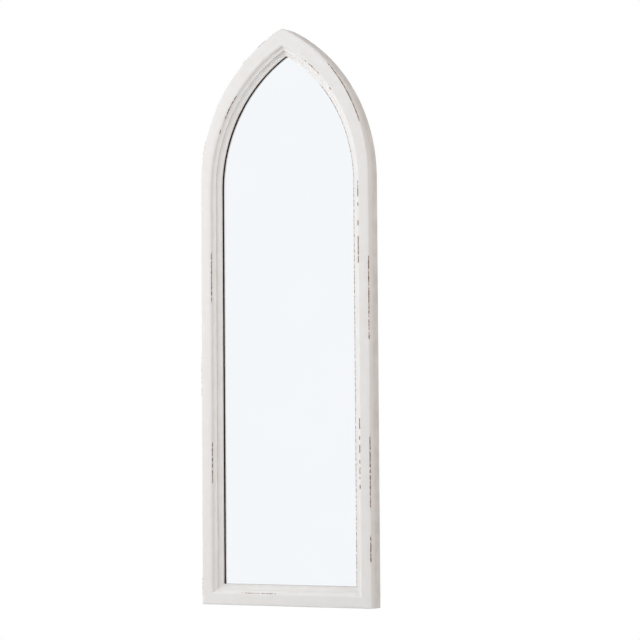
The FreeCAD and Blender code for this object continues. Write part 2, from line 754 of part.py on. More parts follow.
def check(pieces):
    """Stop if anything failed to build, a cut removed nothing, or a piece's solid is unsound."""
    for item in doc.Objects:
        if "Invalid" in item.State or "Error" in item.State:
            raise RuntimeError(f"{item.Name} failed to build")
        if item.TypeId == "PartDesign::Pocket" and item.Shape.Volume >= item.BaseFeature.Shape.Volume:
            raise RuntimeError(f"{item.Name} cuts nothing")
    for piece in pieces:
        if piece.Shape.isNull() or not piece.Shape.isValid() or not piece.Shape.Solids:
            raise RuntimeError(f"{piece.Label} is not a sound solid")


parts = make_mirror()
doc.recompute()
check(parts)
os.makedirs("parts", exist_ok=True)
for part in parts:
    part.Shape.exportStep(f"parts/{part.Label}.step")
print(f"{len(parts)} nodes, {sum(len(part.Shape.Solids) for part in parts)} solids")
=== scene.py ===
"""Looks of an arched wall mirror: worn painted frame, silvered pane and back hardware.

Sizes are in metres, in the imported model's axes: the front faces -Y, the wall is at +Y and Z is up.
"""

import json
import logging
import math
from abc import ABC, abstractmethod
from dataclasses import dataclass, field
from enum import Enum
from typing import Any, Mapping, Optional, Sequence, Union

import bpy
import numpy as np
from mathutils import Matrix, Vector


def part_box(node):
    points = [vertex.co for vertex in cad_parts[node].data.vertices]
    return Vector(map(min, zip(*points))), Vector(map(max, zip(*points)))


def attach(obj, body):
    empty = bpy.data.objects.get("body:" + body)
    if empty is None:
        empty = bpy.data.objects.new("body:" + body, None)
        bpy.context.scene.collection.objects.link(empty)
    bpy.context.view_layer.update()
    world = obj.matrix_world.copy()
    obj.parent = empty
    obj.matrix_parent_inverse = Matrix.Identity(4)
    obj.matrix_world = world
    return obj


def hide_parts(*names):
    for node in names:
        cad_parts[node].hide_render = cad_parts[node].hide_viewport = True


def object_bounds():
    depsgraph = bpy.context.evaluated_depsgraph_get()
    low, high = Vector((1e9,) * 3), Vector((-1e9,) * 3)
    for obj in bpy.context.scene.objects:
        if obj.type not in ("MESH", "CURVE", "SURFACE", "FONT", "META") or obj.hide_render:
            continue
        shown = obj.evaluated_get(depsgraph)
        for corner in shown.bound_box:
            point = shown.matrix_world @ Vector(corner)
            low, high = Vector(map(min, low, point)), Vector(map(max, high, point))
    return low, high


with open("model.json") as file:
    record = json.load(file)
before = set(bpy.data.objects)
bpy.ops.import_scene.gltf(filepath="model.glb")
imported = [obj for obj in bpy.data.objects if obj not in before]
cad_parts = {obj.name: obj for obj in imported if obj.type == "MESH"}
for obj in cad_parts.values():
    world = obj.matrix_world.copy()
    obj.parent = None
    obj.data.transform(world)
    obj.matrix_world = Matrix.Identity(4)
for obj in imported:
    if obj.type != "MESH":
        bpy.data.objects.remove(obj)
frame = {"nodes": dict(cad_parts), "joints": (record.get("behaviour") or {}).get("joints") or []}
CAD_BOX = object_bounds()

LOG = logging.getLogger("arched_mirror")
FIXED_BODY = "mirror"
QUARTER_TURN = math.pi / 2
GOLDEN_ANGLE = math.pi * (3 - math.sqrt(5))
NOISE_MIDDLE = 0.5
ARC_POINTS = 25
CAPS = 2

Colour = tuple[float, float, float]
Place = tuple[float, float, float]
Span = tuple[float, float]


# Shader graphs

class Field:
    """A shader socket that takes part in Python arithmetic."""

    def __init__(self, graph: "Graph", socket: bpy.types.NodeSocket) -> None:
        """Keep the socket, and the graph that its Math nodes go into."""
        self.graph = graph
        self.socket = socket

    def math(self, operation: str, first: "Feed", second: "Feed") -> "Field":
        """Add one Math node.

        Args:
            operation: Blender's name of the operation.
            first: value or link of the first socket.
            second: value or link of the second socket.

        Returns:
            The node's result.
        """
        return self.graph.value("ShaderNodeMath", {"operation": operation}, {0: first, 1: second})

    def __add__(self, other: "Feed") -> "Field":
        """Sum of this and another value."""
        return self.math("ADD", self, other)

    def __radd__(self, other: "Feed") -> "Field":
        """Sum of a number and this."""
        return self.math("ADD", other, self)

    def __sub__(self, other: "Feed") -> "Field":
        """This less another value."""
        return self.math("SUBTRACT", self, other)

    def __rsub__(self, other: "Feed") -> "Field":
        """A number less this."""
        return self.math("SUBTRACT", other, self)

    def __mul__(self, other: "Feed") -> "Field":
        """Product of this and another value."""
        return self.math("MULTIPLY", self, other)

    def __rmul__(self, other: "Feed") -> "Field":
        """Product of a number and this."""
        return self.math("MULTIPLY", other, self)

    def __or__(self, other: "Feed") -> "Field":
        """The larger of this and another value, as two masks are joined."""
        return self.math("MAXIMUM", self, other)

    def smooth(self, low: float, high: float) -> "Field":
        """Rise smoothly from 0 where this is at low to 1 where it is at high.

        Args:
            low: value that gives 0.
            high: value that gives 1.

        Returns:
            The smooth step.
        """
        return self.graph.value(
            "ShaderNodeMapRange",
            {"interpolation_type": "SMOOTHSTEP"},
            {"Value": self, "From Min": low, "From Max": high},
        )


Feed = Union[Field, bpy.types.NodeSocket, float, tuple]


@dataclass(frozen=True)
class Pattern:
    """Waves of a smooth noise.

    Attributes:
        scale: number of waves per unit of the place.
        detail: number of finer layers.
        distortion: how far the waves are bent.
        stretch: factor of each axis, for waves that are longer one way.
    """

    scale: float = 1.0
    detail: float = 2.0
    distortion: float = 0.0
    stretch: Optional[Place] = None


class Graph:
    """The nodes of one material or world."""

    COLOUR_A = 6
    COLOUR_B = 7
    COLOUR_RESULT = 2

    def __init__(self, tree: bpy.types.NodeTree) -> None:
        """Start from an empty tree."""
        self.tree = tree
        tree.nodes.clear()

    def node(
        self,
        kind: str,
        settings: Optional[Mapping[str, Any]] = None,
        sockets: Optional[Mapping[Union[int, str], Feed]] = None,
    ) -> bpy.types.Node:
        """Add any node.

        Args:
            kind: Blender's type of the node.
            settings: properties of the node, which are set first.
            sockets: values or links of its input sockets, by name or number.

        Returns:
            The new node.
        """
        made = self.tree.nodes.new(kind)
        for name, setting in (settings or {}).items():
            setattr(made, name, setting)
        for key, feed in (sockets or {}).items():
            self.feed(made.inputs[key], feed)
        return made

    def feed(self, socket: bpy.types.NodeSocket, feed: Feed) -> None:
        """Link a field or socket into an input, or set the input's own value.

        Args:
            socket: the input.
            feed: what goes into it.
        """
        source = feed.socket if isinstance(feed, Field) else feed
        if isinstance(source, bpy.types.NodeSocket):
            self.tree.links.new(source, socket)
        elif socket.type == "RGBA":
            socket.default_value = (*source, 1.0)
        else:
            socket.default_value = source

    def value(
        self,
        kind: str,
        settings: Optional[Mapping[str, Any]] = None,
        sockets: Optional[Mapping[Union[int, str], Feed]] = None,
        output: Union[int, str] = 0,
    ) -> Field:
        """Add a node and wrap one of its outputs.

        Args:
            kind: Blender's type of the node.
            settings: properties of the node.
            sockets: values or links of its input sockets.
            output: name or number of the output.

        Returns:
            The output as a field.
        """
        return Field(self, self.node(kind, settings, sockets).outputs[output])

    def mark(self, name: str) -> Field:
        """A value that the piece's mesh keeps at each point."""
        return self.value("ShaderNodeAttribute", {"attribute_name": name}, output="Fac")

    def place(self) -> bpy.types.NodeSocket:
        """Place on the piece, in metres."""
        return self.node("ShaderNodeTexCoord").outputs["Object"]

    def noise(self, place: Feed, pattern: Pattern) -> Field:
        """Smooth noise from 0 to 1.

        Args:
            place: where it is read.
            pattern: its waves.

        Returns:
            The noise.
        """
        if pattern.stretch is not None:
            factors = {0: place, 1: pattern.stretch}
            place = self.node("ShaderNodeVectorMath", {"operation": "MULTIPLY"}, factors).outputs[0]
        sockets = {
            "Vector": place,
            "Scale": pattern.scale,
            "Detail": pattern.detail,
            "Distortion": pattern.distortion,
        }
        return self.value("ShaderNodeTexNoise", {"noise_dimensions": "3D"}, sockets)

    def mixed(self, factor: Feed, first: Feed, second: Feed) -> bpy.types.NodeSocket:
        """Blend two colours.

        Args:
            factor: share of the second colour.
            first: colour at a factor of 0.
            second: colour at a factor of 1.

        Returns:
            The blended colour.
        """
        made = self.node(
            "ShaderNodeMix",
            {"data_type": "RGBA"},
            {0: factor, self.COLOUR_A: first, self.COLOUR_B: second},
        )
        return made.outputs[self.COLOUR_RESULT]

    def bump(self, height: Feed, rise: float) -> bpy.types.NodeSocket:
        """Normal of a surface that rises with a value.

        Args:
            height: value from 0 to 1.
            rise: height in metres at a value of 1.

        Returns:
            The bumped normal.
        """
        sockets = {"Strength": 1.0, "Distance": rise, "Height": height}
        return self.node("ShaderNodeBump", None, sockets).outputs[0]


# Finishes

class Mark(str, Enum):
    """Values that a painted member keeps at each point of its mesh."""

    ALONG = "along"
    ACROSS = "across"
    RUB = "rub"
    GRIME = "grime"
    BARE = "bare"
    STAIN = "stain"


class Finish(ABC):
    """A surface finish that becomes one material."""

    name: str

    @abstractmethod
    def lay(self, graph: Graph, shader: bpy.types.Node) -> None:
        """Feed the shader.

        Args:
            graph: nodes of the material.
            shader: its surface shader.
        """

    def material(self) -> bpy.types.Material:
        """The finish as a material, made once and found by its name after that."""
        found = bpy.data.materials.get(self.name)
        if found is None:
            found = bpy.data.materials.new(self.name)
            found.use_nodes = True
            graph = Graph(found.node_tree)
            shader = graph.node("ShaderNodeBsdfPrincipled")
            graph.node("ShaderNodeOutputMaterial", None, {"Surface": shader.outputs[0]})
            self.lay(graph, shader)
        return found


@dataclass(frozen=True)
class WornPaint(Finish):
    """Brushed warm white paint on wood, rubbed through on the arrises, bare behind, with dark staining
    in the rabbet that deepens its shade, and painted shade in the quirk and on the side towards the
    wall.

    A span holds the values at which a smooth step begins and ends.
    """

    name: str = "worn_white_paint"
    pale: Colour = (0.835, 0.827, 0.824)
    warm: Colour = (0.814, 0.796, 0.780)
    # Painted shade: the colour that the quirk and the side towards the wall darken to.
    painted_shade_tone: Colour = (0.54, 0.52, 0.495)
    worn_wood: Colour = (0.125, 0.058, 0.036)
    worn_edge: Colour = (0.40, 0.27, 0.20)
    pine_pale: Colour = (0.62, 0.45, 0.28)
    pine_dark: Colour = (0.40, 0.25, 0.13)
    # Dark staining in the rabbet, which also paints in the shade behind the nose.
    stain: Colour = (0.042, 0.020, 0.013)
    stroke_pattern: Pattern = Pattern(detail=3.0, stretch=(14.0, 750.0, 1.0))
    grain_pattern: Pattern = Pattern(detail=4.0, distortion=0.6, stretch=(9.0, 420.0, 1.0))
    dash_pattern: Pattern = Pattern(detail=2.5, stretch=(210.0, 330.0, 1.0))
    mottle_pattern: Pattern = Pattern(55.0, detail=3.0)
    speck_pattern: Pattern = Pattern(620.0)
    bare_span: Span = (0.40, 0.52)
    bare_raggedness: float = 0.7
    patchiness: float = 2.6
    rub_edge: float = 0.2
    rubbed_span: Span = (0.56, 0.80)
    frayed_span: Span = (0.32, 0.46)
    frayed_share: float = 0.9
    # How strongly the painted shade shows, mottled.
    shade_mottle_span: Span = (0.25, 0.85)
    least_shade: float = 0.55
    mottled_shade: float = 0.9
    tone_span: Span = (0.30, 0.75)
    stroke_tone: float = 0.35
    speck_tone: float = 0.6
    grain_span: Span = (0.35, 0.70)
    paint_roughness: float = 0.60
    stroke_roughness: float = 0.10
    wood_roughness: float = 0.78
    gloss: float = 0.25
    rise: float = 0.000012
    stroke_height: float = 0.55
    mottle_height: float = 0.6
    grain_height: float = 0.7

    def lay(self, graph: Graph, shader: bpy.types.Node) -> None:
        """Lay pine, then dark staining that deepens the shade in the rabbet, then paint with its
        strokes, painted shade and rubbed arrises.

        Args:
            graph: nodes of the material.
            shader: its surface shader.
        """
        place = graph.place()
        ways = {0: graph.mark(Mark.ALONG.value), 1: graph.mark(Mark.ACROSS.value)}
        run = graph.node("ShaderNodeCombineXYZ", None, ways).outputs[0]
        strokes = graph.noise(run, self.stroke_pattern)
        grain = graph.noise(run, self.grain_pattern)
        dashes = graph.noise(run, self.dash_pattern)
        mottle = graph.noise(place, self.mottle_pattern)
        specks = graph.noise(place, self.speck_pattern)

        ragged = (dashes - NOISE_MIDDLE) * self.bare_raggedness
        bare = (graph.mark(Mark.BARE.value) + ragged).smooth(*self.bare_span)
        rub = graph.mark(Mark.RUB.value)
        within = rub.smooth(0.0, self.rub_edge)
        patchy = rub + (dashes - NOISE_MIDDLE) * self.patchiness
        rubbed = patchy.smooth(*self.rubbed_span) * within
        frayed = patchy.smooth(*self.frayed_span) * within
        # Painted shade in the quirk and towards the wall, mottled.
        thickness = self.least_shade + self.mottled_shade * mottle.smooth(*self.shade_mottle_span)
        shade_share = graph.mark(Mark.GRIME.value) * thickness

        brushed = self.stroke_tone * (strokes - NOISE_MIDDLE)
        tone = mottle + brushed + self.speck_tone * (specks - NOISE_MIDDLE)
        paint = graph.mixed(tone.smooth(*self.tone_span), self.pale, self.warm)
        # The painted shade darkens the paint.
        paint = graph.mixed(shade_share, paint, self.painted_shade_tone)
        paint = graph.mixed(frayed * self.frayed_share, paint, self.worn_edge)
        paint = graph.mixed(rubbed, paint, self.worn_wood)
        pine = graph.mixed(grain.smooth(*self.grain_span), self.pine_pale, self.pine_dark)
        # Dark staining in the rabbet deepens the shade behind the nose.
        wood = graph.mixed(graph.mark(Mark.STAIN.value), pine, self.stain)
        graph.feed(shader.inputs["Base Color"], graph.mixed(bare, paint, wood))

        exposed = bare | rubbed
        painted = self.paint_roughness + self.stroke_roughness * (strokes - NOISE_MIDDLE)
        coarser = exposed * (self.wood_roughness - self.paint_roughness)
        graph.feed(shader.inputs["Roughness"], painted + coarser)
        graph.feed(shader.inputs["Specular IOR Level"], self.gloss)
        coat = self.stroke_height * strokes + self.mottle_height * mottle
        height = coat * (1.0 - exposed) + exposed * (self.grain_height * grain)
        graph.feed(shader.inputs["Normal"], graph.bump(height, self.rise))


@dataclass(frozen=True)
class SilveredPane(Finish):
    """Clear silvered glass with a cool cast."""

    name: str = "silvered_pane"
    silver: Colour = (0.920, 0.938, 0.958)
    silver_cool: Colour = (0.895, 0.922, 0.952)
    cloud_pattern: Pattern = Pattern(7.0)
    least_roughness: float = 0.012
    haze: float = 0.012

    def lay(self, graph: Graph, shader: bpy.types.Node) -> None:
        """Lay a metal mirror whose tone and haze drift a little.

        Args:
            graph: nodes of the material.
            shader: its surface shader.
        """
        cloud = graph.noise(graph.place(), self.cloud_pattern)
        graph.feed(shader.inputs["Base Color"], graph.mixed(cloud, self.silver, self.silver_cool))
        graph.feed(shader.inputs["Roughness"], self.least_roughness + self.haze * cloud)
        graph.feed(shader.inputs["Metallic"], 1.0)


@dataclass(frozen=True)
class PlatedSteel(Finish):
    """Rolled steel with a thin plating: fine rolling lines, a spangle and a few dull spots."""

    name: str
    bright: Colour
    dull: Colour
    roughness: float
    line_pattern: Pattern = Pattern(stretch=(2600.0, 2600.0, 160.0))
    spangle_pattern: Pattern = Pattern(420.0)
    spot_pattern: Pattern = Pattern(900.0, detail=3.0)
    spangle_span: Span = (0.35, 0.65)
    spot_span: Span = (0.62, 0.74)
    spot_share: float = 0.5
    line_roughness: float = 0.12
    spot_roughness: float = 0.15
    rise: float = 0.000012
    spangle_height: float = 0.5

    def lay(self, graph: Graph, shader: bpy.types.Node) -> None:
        """Lay metal whose gloss follows the lines and whose tone follows the spangle.

        Args:
            graph: nodes of the material.
            shader: its surface shader.
        """
        place = graph.place()
        lines = graph.noise(place, self.line_pattern)
        spangle = graph.noise(place, self.spangle_pattern)
        spots = graph.noise(place, self.spot_pattern).smooth(*self.spot_span)
        tone = graph.mixed(spangle.smooth(*self.spangle_span), self.bright, self.dull)
        graph.feed(shader.inputs["Base Color"], graph.mixed(spots * self.spot_share, tone, self.dull))
        rolled = self.roughness + self.line_roughness * (lines - NOISE_MIDDLE)
        graph.feed(shader.inputs["Roughness"], rolled + self.spot_roughness * spots)
        graph.feed(shader.inputs["Metallic"], 1.0)
        graph.feed(shader.inputs["Normal"], graph.bump(lines + self.spangle_height * spangle, self.rise))


@dataclass(frozen=True)
class PressedBoard(Finish):
    """Board pressed from fibres: a mottled tone with long flecks and a felted surface."""

    name: str
    pale: Colour
    dark: Colour
    fleck: Colour
    mottle_pattern: Pattern = Pattern(26.0, detail=4.0)
    fibre_pattern: Pattern = Pattern(700.0, detail=3.0, distortion=1.2)
    fleck_pattern: Pattern = Pattern(distortion=1.5, stretch=(900.0, 900.0, 260.0))
    mottle_share: float = 0.55
    tone_span: Span = (0.35, 0.66)
    fleck_span: Span = (0.60, 0.72)
    fleck_share: float = 0.6
    roughness: float = 0.72
    fibre_roughness: float = 0.15
    rise: float = 0.00004

    def lay(self, graph: Graph, shader: bpy.types.Node) -> None:
        """Lay mottled fibres with scattered flecks.

        Args:
            graph: nodes of the material.
            shader: its surface shader.
        """
        place = graph.place()
        mottle = graph.noise(place, self.mottle_pattern)
        fibres = graph.noise(place, self.fibre_pattern)
        flecks = graph.noise(place, self.fleck_pattern).smooth(*self.fleck_span)
        pressed = self.mottle_share * mottle + (1 - self.mottle_share) * fibres
        tone = graph.mixed(pressed.smooth(*self.tone_span), self.dark, self.pale)
        graph.feed(shader.inputs["Base Color"], graph.mixed(flecks * self.fleck_share, tone, self.fleck))
        felted = self.roughness + self.fibre_roughness * (fibres - NOISE_MIDDLE)
        graph.feed(shader.inputs["Roughness"], felted)
        graph.feed(shader.inputs["Normal"], graph.bump(fibres, self.rise))


@dataclass(frozen=True)
class SolidBeech(Finish):
    """Turned beech with fine grain along Z, the length of the dowels."""

    name: str = "turned_beech"
    pale: Colour = (0.68, 0.50, 0.34)
    dark: Colour = (0.52, 0.34, 0.20)
    grain_pattern: Pattern = Pattern(detail=3.0, stretch=(500.0, 500.0, 30.0))
    grain_span: Span = (0.3, 0.7)
    roughness: float = 0.6
    grain_roughness: float = 0.1
    rise: float = 0.00003

    def lay(self, graph: Graph, shader: bpy.types.Node) -> None:
        """Lay grain.

        Args:
            graph: nodes of the material.
            shader: its surface shader.
        """
        grain = graph.noise(graph.place(), self.grain_pattern)
        tone = graph.mixed(grain.smooth(*self.grain_span), self.pale, self.dark)
        graph.feed(shader.inputs["Base Color"], tone)
        turned = self.roughness + self.grain_roughness * (grain - NOISE_MIDDLE)
        graph.feed(shader.inputs["Roughness"], turned)
        graph.feed(shader.inputs["Normal"], graph.bump(grain, self.rise))


@dataclass(frozen=True)
class MouldedRubber(Finish):
    """Dark moulded rubber with a fine bloom."""

    name: str = "moulded_rubber"
    dark: Colour = (0.022, 0.022, 0.024)
    bloom: Colour = (0.055, 0.055, 0.056)
    bloom_pattern: Pattern = Pattern(240.0, detail=3.0)
    pore_pattern: Pattern = Pattern(2400.0, detail=1.0)
    bloom_span: Span = (0.4, 0.75)
    roughness: float = 0.62
    bloom_roughness: float = 0.2
    rise: float = 0.00002

    def lay(self, graph: Graph, shader: bpy.types.Node) -> None:
        """Lay rubber with bloom and pores.

        Args:
            graph: nodes of the material.
            shader: its surface shader.
        """
        place = graph.place()
        bloom = graph.noise(place, self.bloom_pattern)
        pores = graph.noise(place, self.pore_pattern)
        tone = graph.mixed(bloom.smooth(*self.bloom_span), self.dark, self.bloom)
        graph.feed(shader.inputs["Base Color"], tone)
        dulled = self.roughness + self.bloom_roughness * (bloom - NOISE_MIDDLE)
        graph.feed(shader.inputs["Roughness"], dulled)
        graph.feed(shader.inputs["Normal"], graph.bump(pores, self.rise))


# Meshes

@dataclass
class Shell:
    """A closed surface: rings of points joined row to row, with a flat cap on each end ring.

    Attributes:
        rings: points by row, column and axis.
        marks: values by row and column, which the mesh keeps as attributes.
        creases: rows whose ring is a sharp edge.
    """

    rings: np.ndarray
    marks: dict[str, np.ndarray] = field(default_factory=dict)
    creases: tuple[int, ...] = (0, -1)

    def volume(self) -> float:
        """Signed volume: the sum of p0 . (p1 x p2) / 6 over the triangles of all faces."""
        near = self.rings[:-1]
        far = self.rings[1:]
        near_next = np.roll(near, -1, axis=1)
        far_next = np.roll(far, -1, axis=1)
        sides = near * (np.cross(near_next, far_next) + np.cross(far_next, far))
        first, last = self.rings[0], self.rings[-1]
        first_cap = first.mean(0) * np.cross(np.roll(first, -1, axis=0), first)
        last_cap = last.mean(0) * np.cross(last, np.roll(last, -1, axis=0))
        return (sides.sum() + first_cap.sum() + last_cap.sum()) / 6

    def faces(self, first_index: int) -> list[list[int]]:
        """Quads between the rings and then two caps, wound so that they point outwards.

        Args:
            first_index: number of the shell's first point in the mesh.

        Returns:
            Point numbers of each face.
        """
        rows, columns = self.rings.shape[:2]
        numbers = np.arange(rows * columns).reshape(rows, columns) + first_index
        near, far = numbers[:-1], numbers[1:]
        corners = [near, np.roll(near, -1, axis=1), np.roll(far, -1, axis=1), far]
        quads = np.stack(corners, axis=-1).reshape(-1, len(corners))
        caps = [numbers[0][::-1], numbers[-1]]
        if self.volume() < 0:
            quads = quads[:, ::-1]
            caps = [cap[::-1] for cap in caps]
        return quads.tolist() + [cap.tolist() for cap in caps]

    def creased(self) -> np.ndarray:
        """Number of the creased ring that each point is on, or -1."""
        rows, columns = self.rings.shape[:2]
        sharp = np.full(rows, -1)
        sharp[list(self.creases)] = np.arange(rows)[list(self.creases)]
        return np.repeat(sharp, columns)


def make_piece(
    name: str, shells: Sequence[Shell], finish: Finish, replaced: Sequence[str]
) -> bpy.types.Object:
    """Make one piece of the fixed body from closed shells.

    Args:
        name: name of the piece.
        shells: its surfaces.
        finish: its finish.
        replaced: CAD nodes that it stands for.

    Returns:
        The piece, riding on the fixed body.
    """
    starts = np.cumsum([0] + [shell.rings[..., 0].size for shell in shells])
    faces: list[list[int]] = []
    smooth: list[bool] = []
    for shell, start in zip(shells, starts):
        added = shell.faces(int(start))
        faces += added
        smooth += [True] * (len(added) - CAPS) + [False] * CAPS
    mesh = bpy.data.meshes.new(name)
    points = np.concatenate([shell.rings.reshape(-1, 3) for shell in shells])
    mesh.from_pydata(points.tolist(), [], faces)
    mesh.polygons.foreach_set("use_smooth", smooth)
    ends = np.empty(2 * len(mesh.edges), np.int32)
    mesh.edges.foreach_get("vertices", ends)
    rows = np.concatenate([shell.creased() for shell in shells])[ends.reshape(-1, 2)]
    mesh.edges.foreach_set("use_edge_sharp", (rows[:, 0] == rows[:, 1]) & (rows[:, 0] >= 0))
    for key in shells[0].marks:
        layer = mesh.attributes.new(key, "FLOAT", "POINT")
        values = np.concatenate([shell.marks[key].ravel() for shell in shells])
        layer.data.foreach_set("value", values.astype(np.float32))
    mesh.materials.append(finish.material())
    mesh.update()
    piece = bpy.data.objects.new(name, mesh)
    bpy.context.scene.collection.objects.link(piece)
    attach(piece, FIXED_BODY)
    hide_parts(*replaced)
    LOG.info("%s: %d faces", name, len(faces))
    return piece


def dress_node(name: str, finish: Finish) -> None:
    """Give a CAD node a finish in all of its material slots.

    Args:
        name: the node.
        finish: its finish.
    """
    for place in frame["nodes"][name].material_slots:
        place.material = finish.material()
    LOG.info("%s: %s", name, finish.name)


def smooth_step(value: np.ndarray, low: float, high: float) -> np.ndarray:
    """Rise from 0 at low to 1 at high along 3t^2 - 2t^3.

    Args:
        value: where the step is read.
        low: value that gives 0.
        high: value that gives 1.

    Returns:
        The step, of the same shape as value.
    """
    share = np.clip((value - low) / (high - low), 0.0, 1.0)
    return share * share * (3 - 2 * share)


def read_along(at: np.ndarray, along: np.ndarray, points: np.ndarray) -> np.ndarray:
    """Points of a chain between its own points, by straight lines from one to the next.

    Args:
        at: where the chain is read.
        along: where its points lie, in the same measure.
        points: the points by row, across and deep.

    Returns:
        Points by row.
    """
    across, deep = points.T
    return np.stack([np.interp(at, along, across), np.interp(at, along, deep)], axis=-1)


def arc(centre: Span, radius: float, start: float, end: float) -> np.ndarray:
    """Points on a circle: centre + radius (cos a, sin a), with a running evenly from start to end.

    Args:
        centre: centre of the circle.
        radius: its radius.
        start: first angle.
        end: last angle.

    Returns:
        Points by row.
    """
    angles = np.linspace(start, end, ARC_POINTS)
    return np.array(centre) + radius * np.stack([np.cos(angles), np.sin(angles)], axis=-1)


# Frame

class Side(Enum):
    """The two sides of the mirror, seen from the front."""

    LEFT = -1
    RIGHT = 1


class Arris(Enum):
    """Edges of the moulding that wear."""

    OUTER = "outer"
    INNER = "inner"
    ROLL = "roll"
    NOSE = "nose"
    BACK = "back"


@dataclass(frozen=True)
class Rub:
    """A stretch of an arris that is rubbed through to the wood, or a thin dark line along it.

    Attributes:
        arris: the edge.
        start: where it begins along the member, from the springing line or the rail's middle.
        end: where it ends.
        strength: 1 for an unbroken line, and less for dashes and dots.
        width: reach on both sides of the edge.
        fade: length over which it fades at each end.
    """

    arris: Arris
    start: float
    end: float
    strength: float = 0.8
    width: float = 0.0013
    fade: float = 0.006


def rub_row(
    arris: Arris,
    *spans: Span,
    strength: float,
    width: float,
    fade: float = 0.002,
) -> tuple[Rub, ...]:
    """A row of short rubs along one arris.

    Args:
        arris: the edge.
        spans: where each rub begins and ends along the member.
        strength: strength of each.
        width: reach of each.
        fade: fading length of each.

    Returns:
        The rubs.
    """
    return tuple(Rub(arris, start, end, strength, width, fade) for start, end in spans)


@dataclass
class Moulding:
    """Section of the frame: how far across from the outer edge, and how deep from the front."""

    depth: float
    edge_ease: float = 0.0025
    face_width: float = 0.0195
    roll_width: float = 0.004
    roll_drop: float = 0.0015
    upper_cove: float = 0.0049
    ridge_land: float = 0.0006
    quirk: float = 0.0005
    lower_cove: float = 0.0057
    nose_land: float = 0.0013
    nose_thickness: float = 0.0034
    lip_overlap: float = 0.007
    back_relief: float = 0.00015
    # Painted shade: where and how far it reaches below the quirk, and how strong it is there and on the
    # side towards the wall.
    quirk_shade_place: Span = (0.0002, 0.0010)
    quirk_shade_reach: float = 0.0016
    quirk_shade: float = 0.34
    wall_side_shade: float = 0.42
    softness: float = 0.0002
    fine_step: float = 0.00005
    plain_step: float = 0.002
    turn_step: float = math.radians(5.0)
    band_core_share: float = 0.35
    ease_share: float = 0.3
    roll_shares: Span = (0.25, 0.55)
    # Depth over which the painted shade on the outer side grows towards the wall.
    wall_side_shade_shares: Span = (0.25, 0.55)
    back_paint: float = 0.007
    back_fade: Span = (0.0010, 0.0002)
    stain_and_shade_fade: Span = (0.0006, 0.0002)

    def __post_init__(self) -> None:
        """Work out the corners from the sizes."""
        quirk_across = self.face_width + self.upper_cove + self.ridge_land
        ridge_deep = self.roll_drop + self.upper_cove
        self.ridge = (quirk_across, ridge_deep)
        self.quirk_corner = (quirk_across, ridge_deep + self.quirk)
        nose_deep = self.quirk_corner[1] + self.lower_cove
        self.width = quirk_across + self.lower_cove + self.nose_land
        self.nose_back = nose_deep + self.nose_thickness
        self.rabbet = self.width - self.lip_overlap
        self.back = self.depth - self.back_relief
        eased = self.ease_share * self.edge_ease
        roll_across, roll_deep = self.roll_shares
        self.arrises = {
            Arris.OUTER: (eased, eased),
            Arris.INNER: (self.face_width, self.roll_drop),
            Arris.ROLL: (self.face_width - roll_across * self.roll_width, roll_deep * self.roll_drop),
            Arris.NOSE: (self.width, nose_deep),
            Arris.BACK: (0.0, self.back),
        }
        self.points, self.girth = self.sampled()

    def drawn(self) -> np.ndarray:
        """The section with sharp arrises: eased edge, flat, roll, two coves, nose and rabbet.

        Returns:
            Points by row, from the outer back corner round to the back.
        """
        ease, face = self.edge_ease, self.face_width
        roll_radius = (self.roll_width**2 + self.roll_drop**2) / (2 * self.roll_drop)
        roll_angle = math.asin(self.roll_width / roll_radius)
        down = 3 * QUARTER_TURN
        lower_centre = (self.ridge[0] + self.lower_cove, self.quirk_corner[1])
        stretches = [
            [(0.0, self.back)],
            arc((ease, ease), ease, math.pi, down),
            arc((face - self.roll_width, roll_radius), roll_radius, down, down + roll_angle),
            arc((face + self.upper_cove, self.roll_drop), self.upper_cove, math.pi, QUARTER_TURN),
            [self.ridge],
            arc(lower_centre, self.lower_cove, math.pi, QUARTER_TURN),
            [self.arrises[Arris.NOSE], (self.width, self.nose_back)],
            [(self.rabbet, self.nose_back), (self.rabbet, self.back)],
        ]
        return np.concatenate([np.asarray(stretch) for stretch in stretches])

    def sampled(self) -> tuple[np.ndarray, np.ndarray]:
        """Soften the drawn section and keep points where it turns.

        The outline is read evenly, blurred by a Gaussian round the loop, as sanding and paint
        round every arris, and then read again at even steps of length plus turning.

        Returns:
            Points by row, and each point's distance round the section.
        """
        drawn = self.drawn()
        closed = np.concatenate([drawn, drawn[:1]])
        length = np.concatenate([[0.0], np.cumsum(np.linalg.norm(np.diff(closed, axis=0), axis=1))])
        count = int(length[-1] / self.fine_step)
        at = np.arange(count) * length[-1] / count
        even = read_along(at, length, closed)
        waves = np.fft.fftfreq(count, length[-1] / count)
        blur = np.exp(-2 * (math.pi * waves * self.softness) ** 2)
        soft = np.fft.ifft(np.fft.fft(even, axis=0) * blur[:, None], axis=0).real
        steps = np.roll(soft, -1, axis=0) - soft
        bearing = np.unwrap(np.arctan2(steps[:, 1], steps[:, 0]))
        turning = np.abs(np.diff(bearing, prepend=bearing[:1]))
        weight = np.linalg.norm(steps, axis=1) / self.plain_step + turning / self.turn_step
        total = np.concatenate([[0.0], np.cumsum(weight)])
        kept_count = int(total[-1])
        numbers = np.arange(count + 1)
        kept = np.interp(np.arange(kept_count) * total[-1] / kept_count, total, numbers)
        points = read_along(kept, numbers, np.concatenate([soft, soft[:1]]))
        return points, kept * length[-1] / count

    def near(self, corner: Span, reach: float) -> np.ndarray:
        """Band round a corner of the section: 1 near it, falling to 0 at reach.

        Args:
            corner: the corner, across and deep.
            reach: distance at which the band ends.

        Returns:
            The band at each point of the section.
        """
        away = np.linalg.norm(self.points - np.array(corner), axis=1)
        return 1 - smooth_step(away, self.band_core_share * reach, reach)

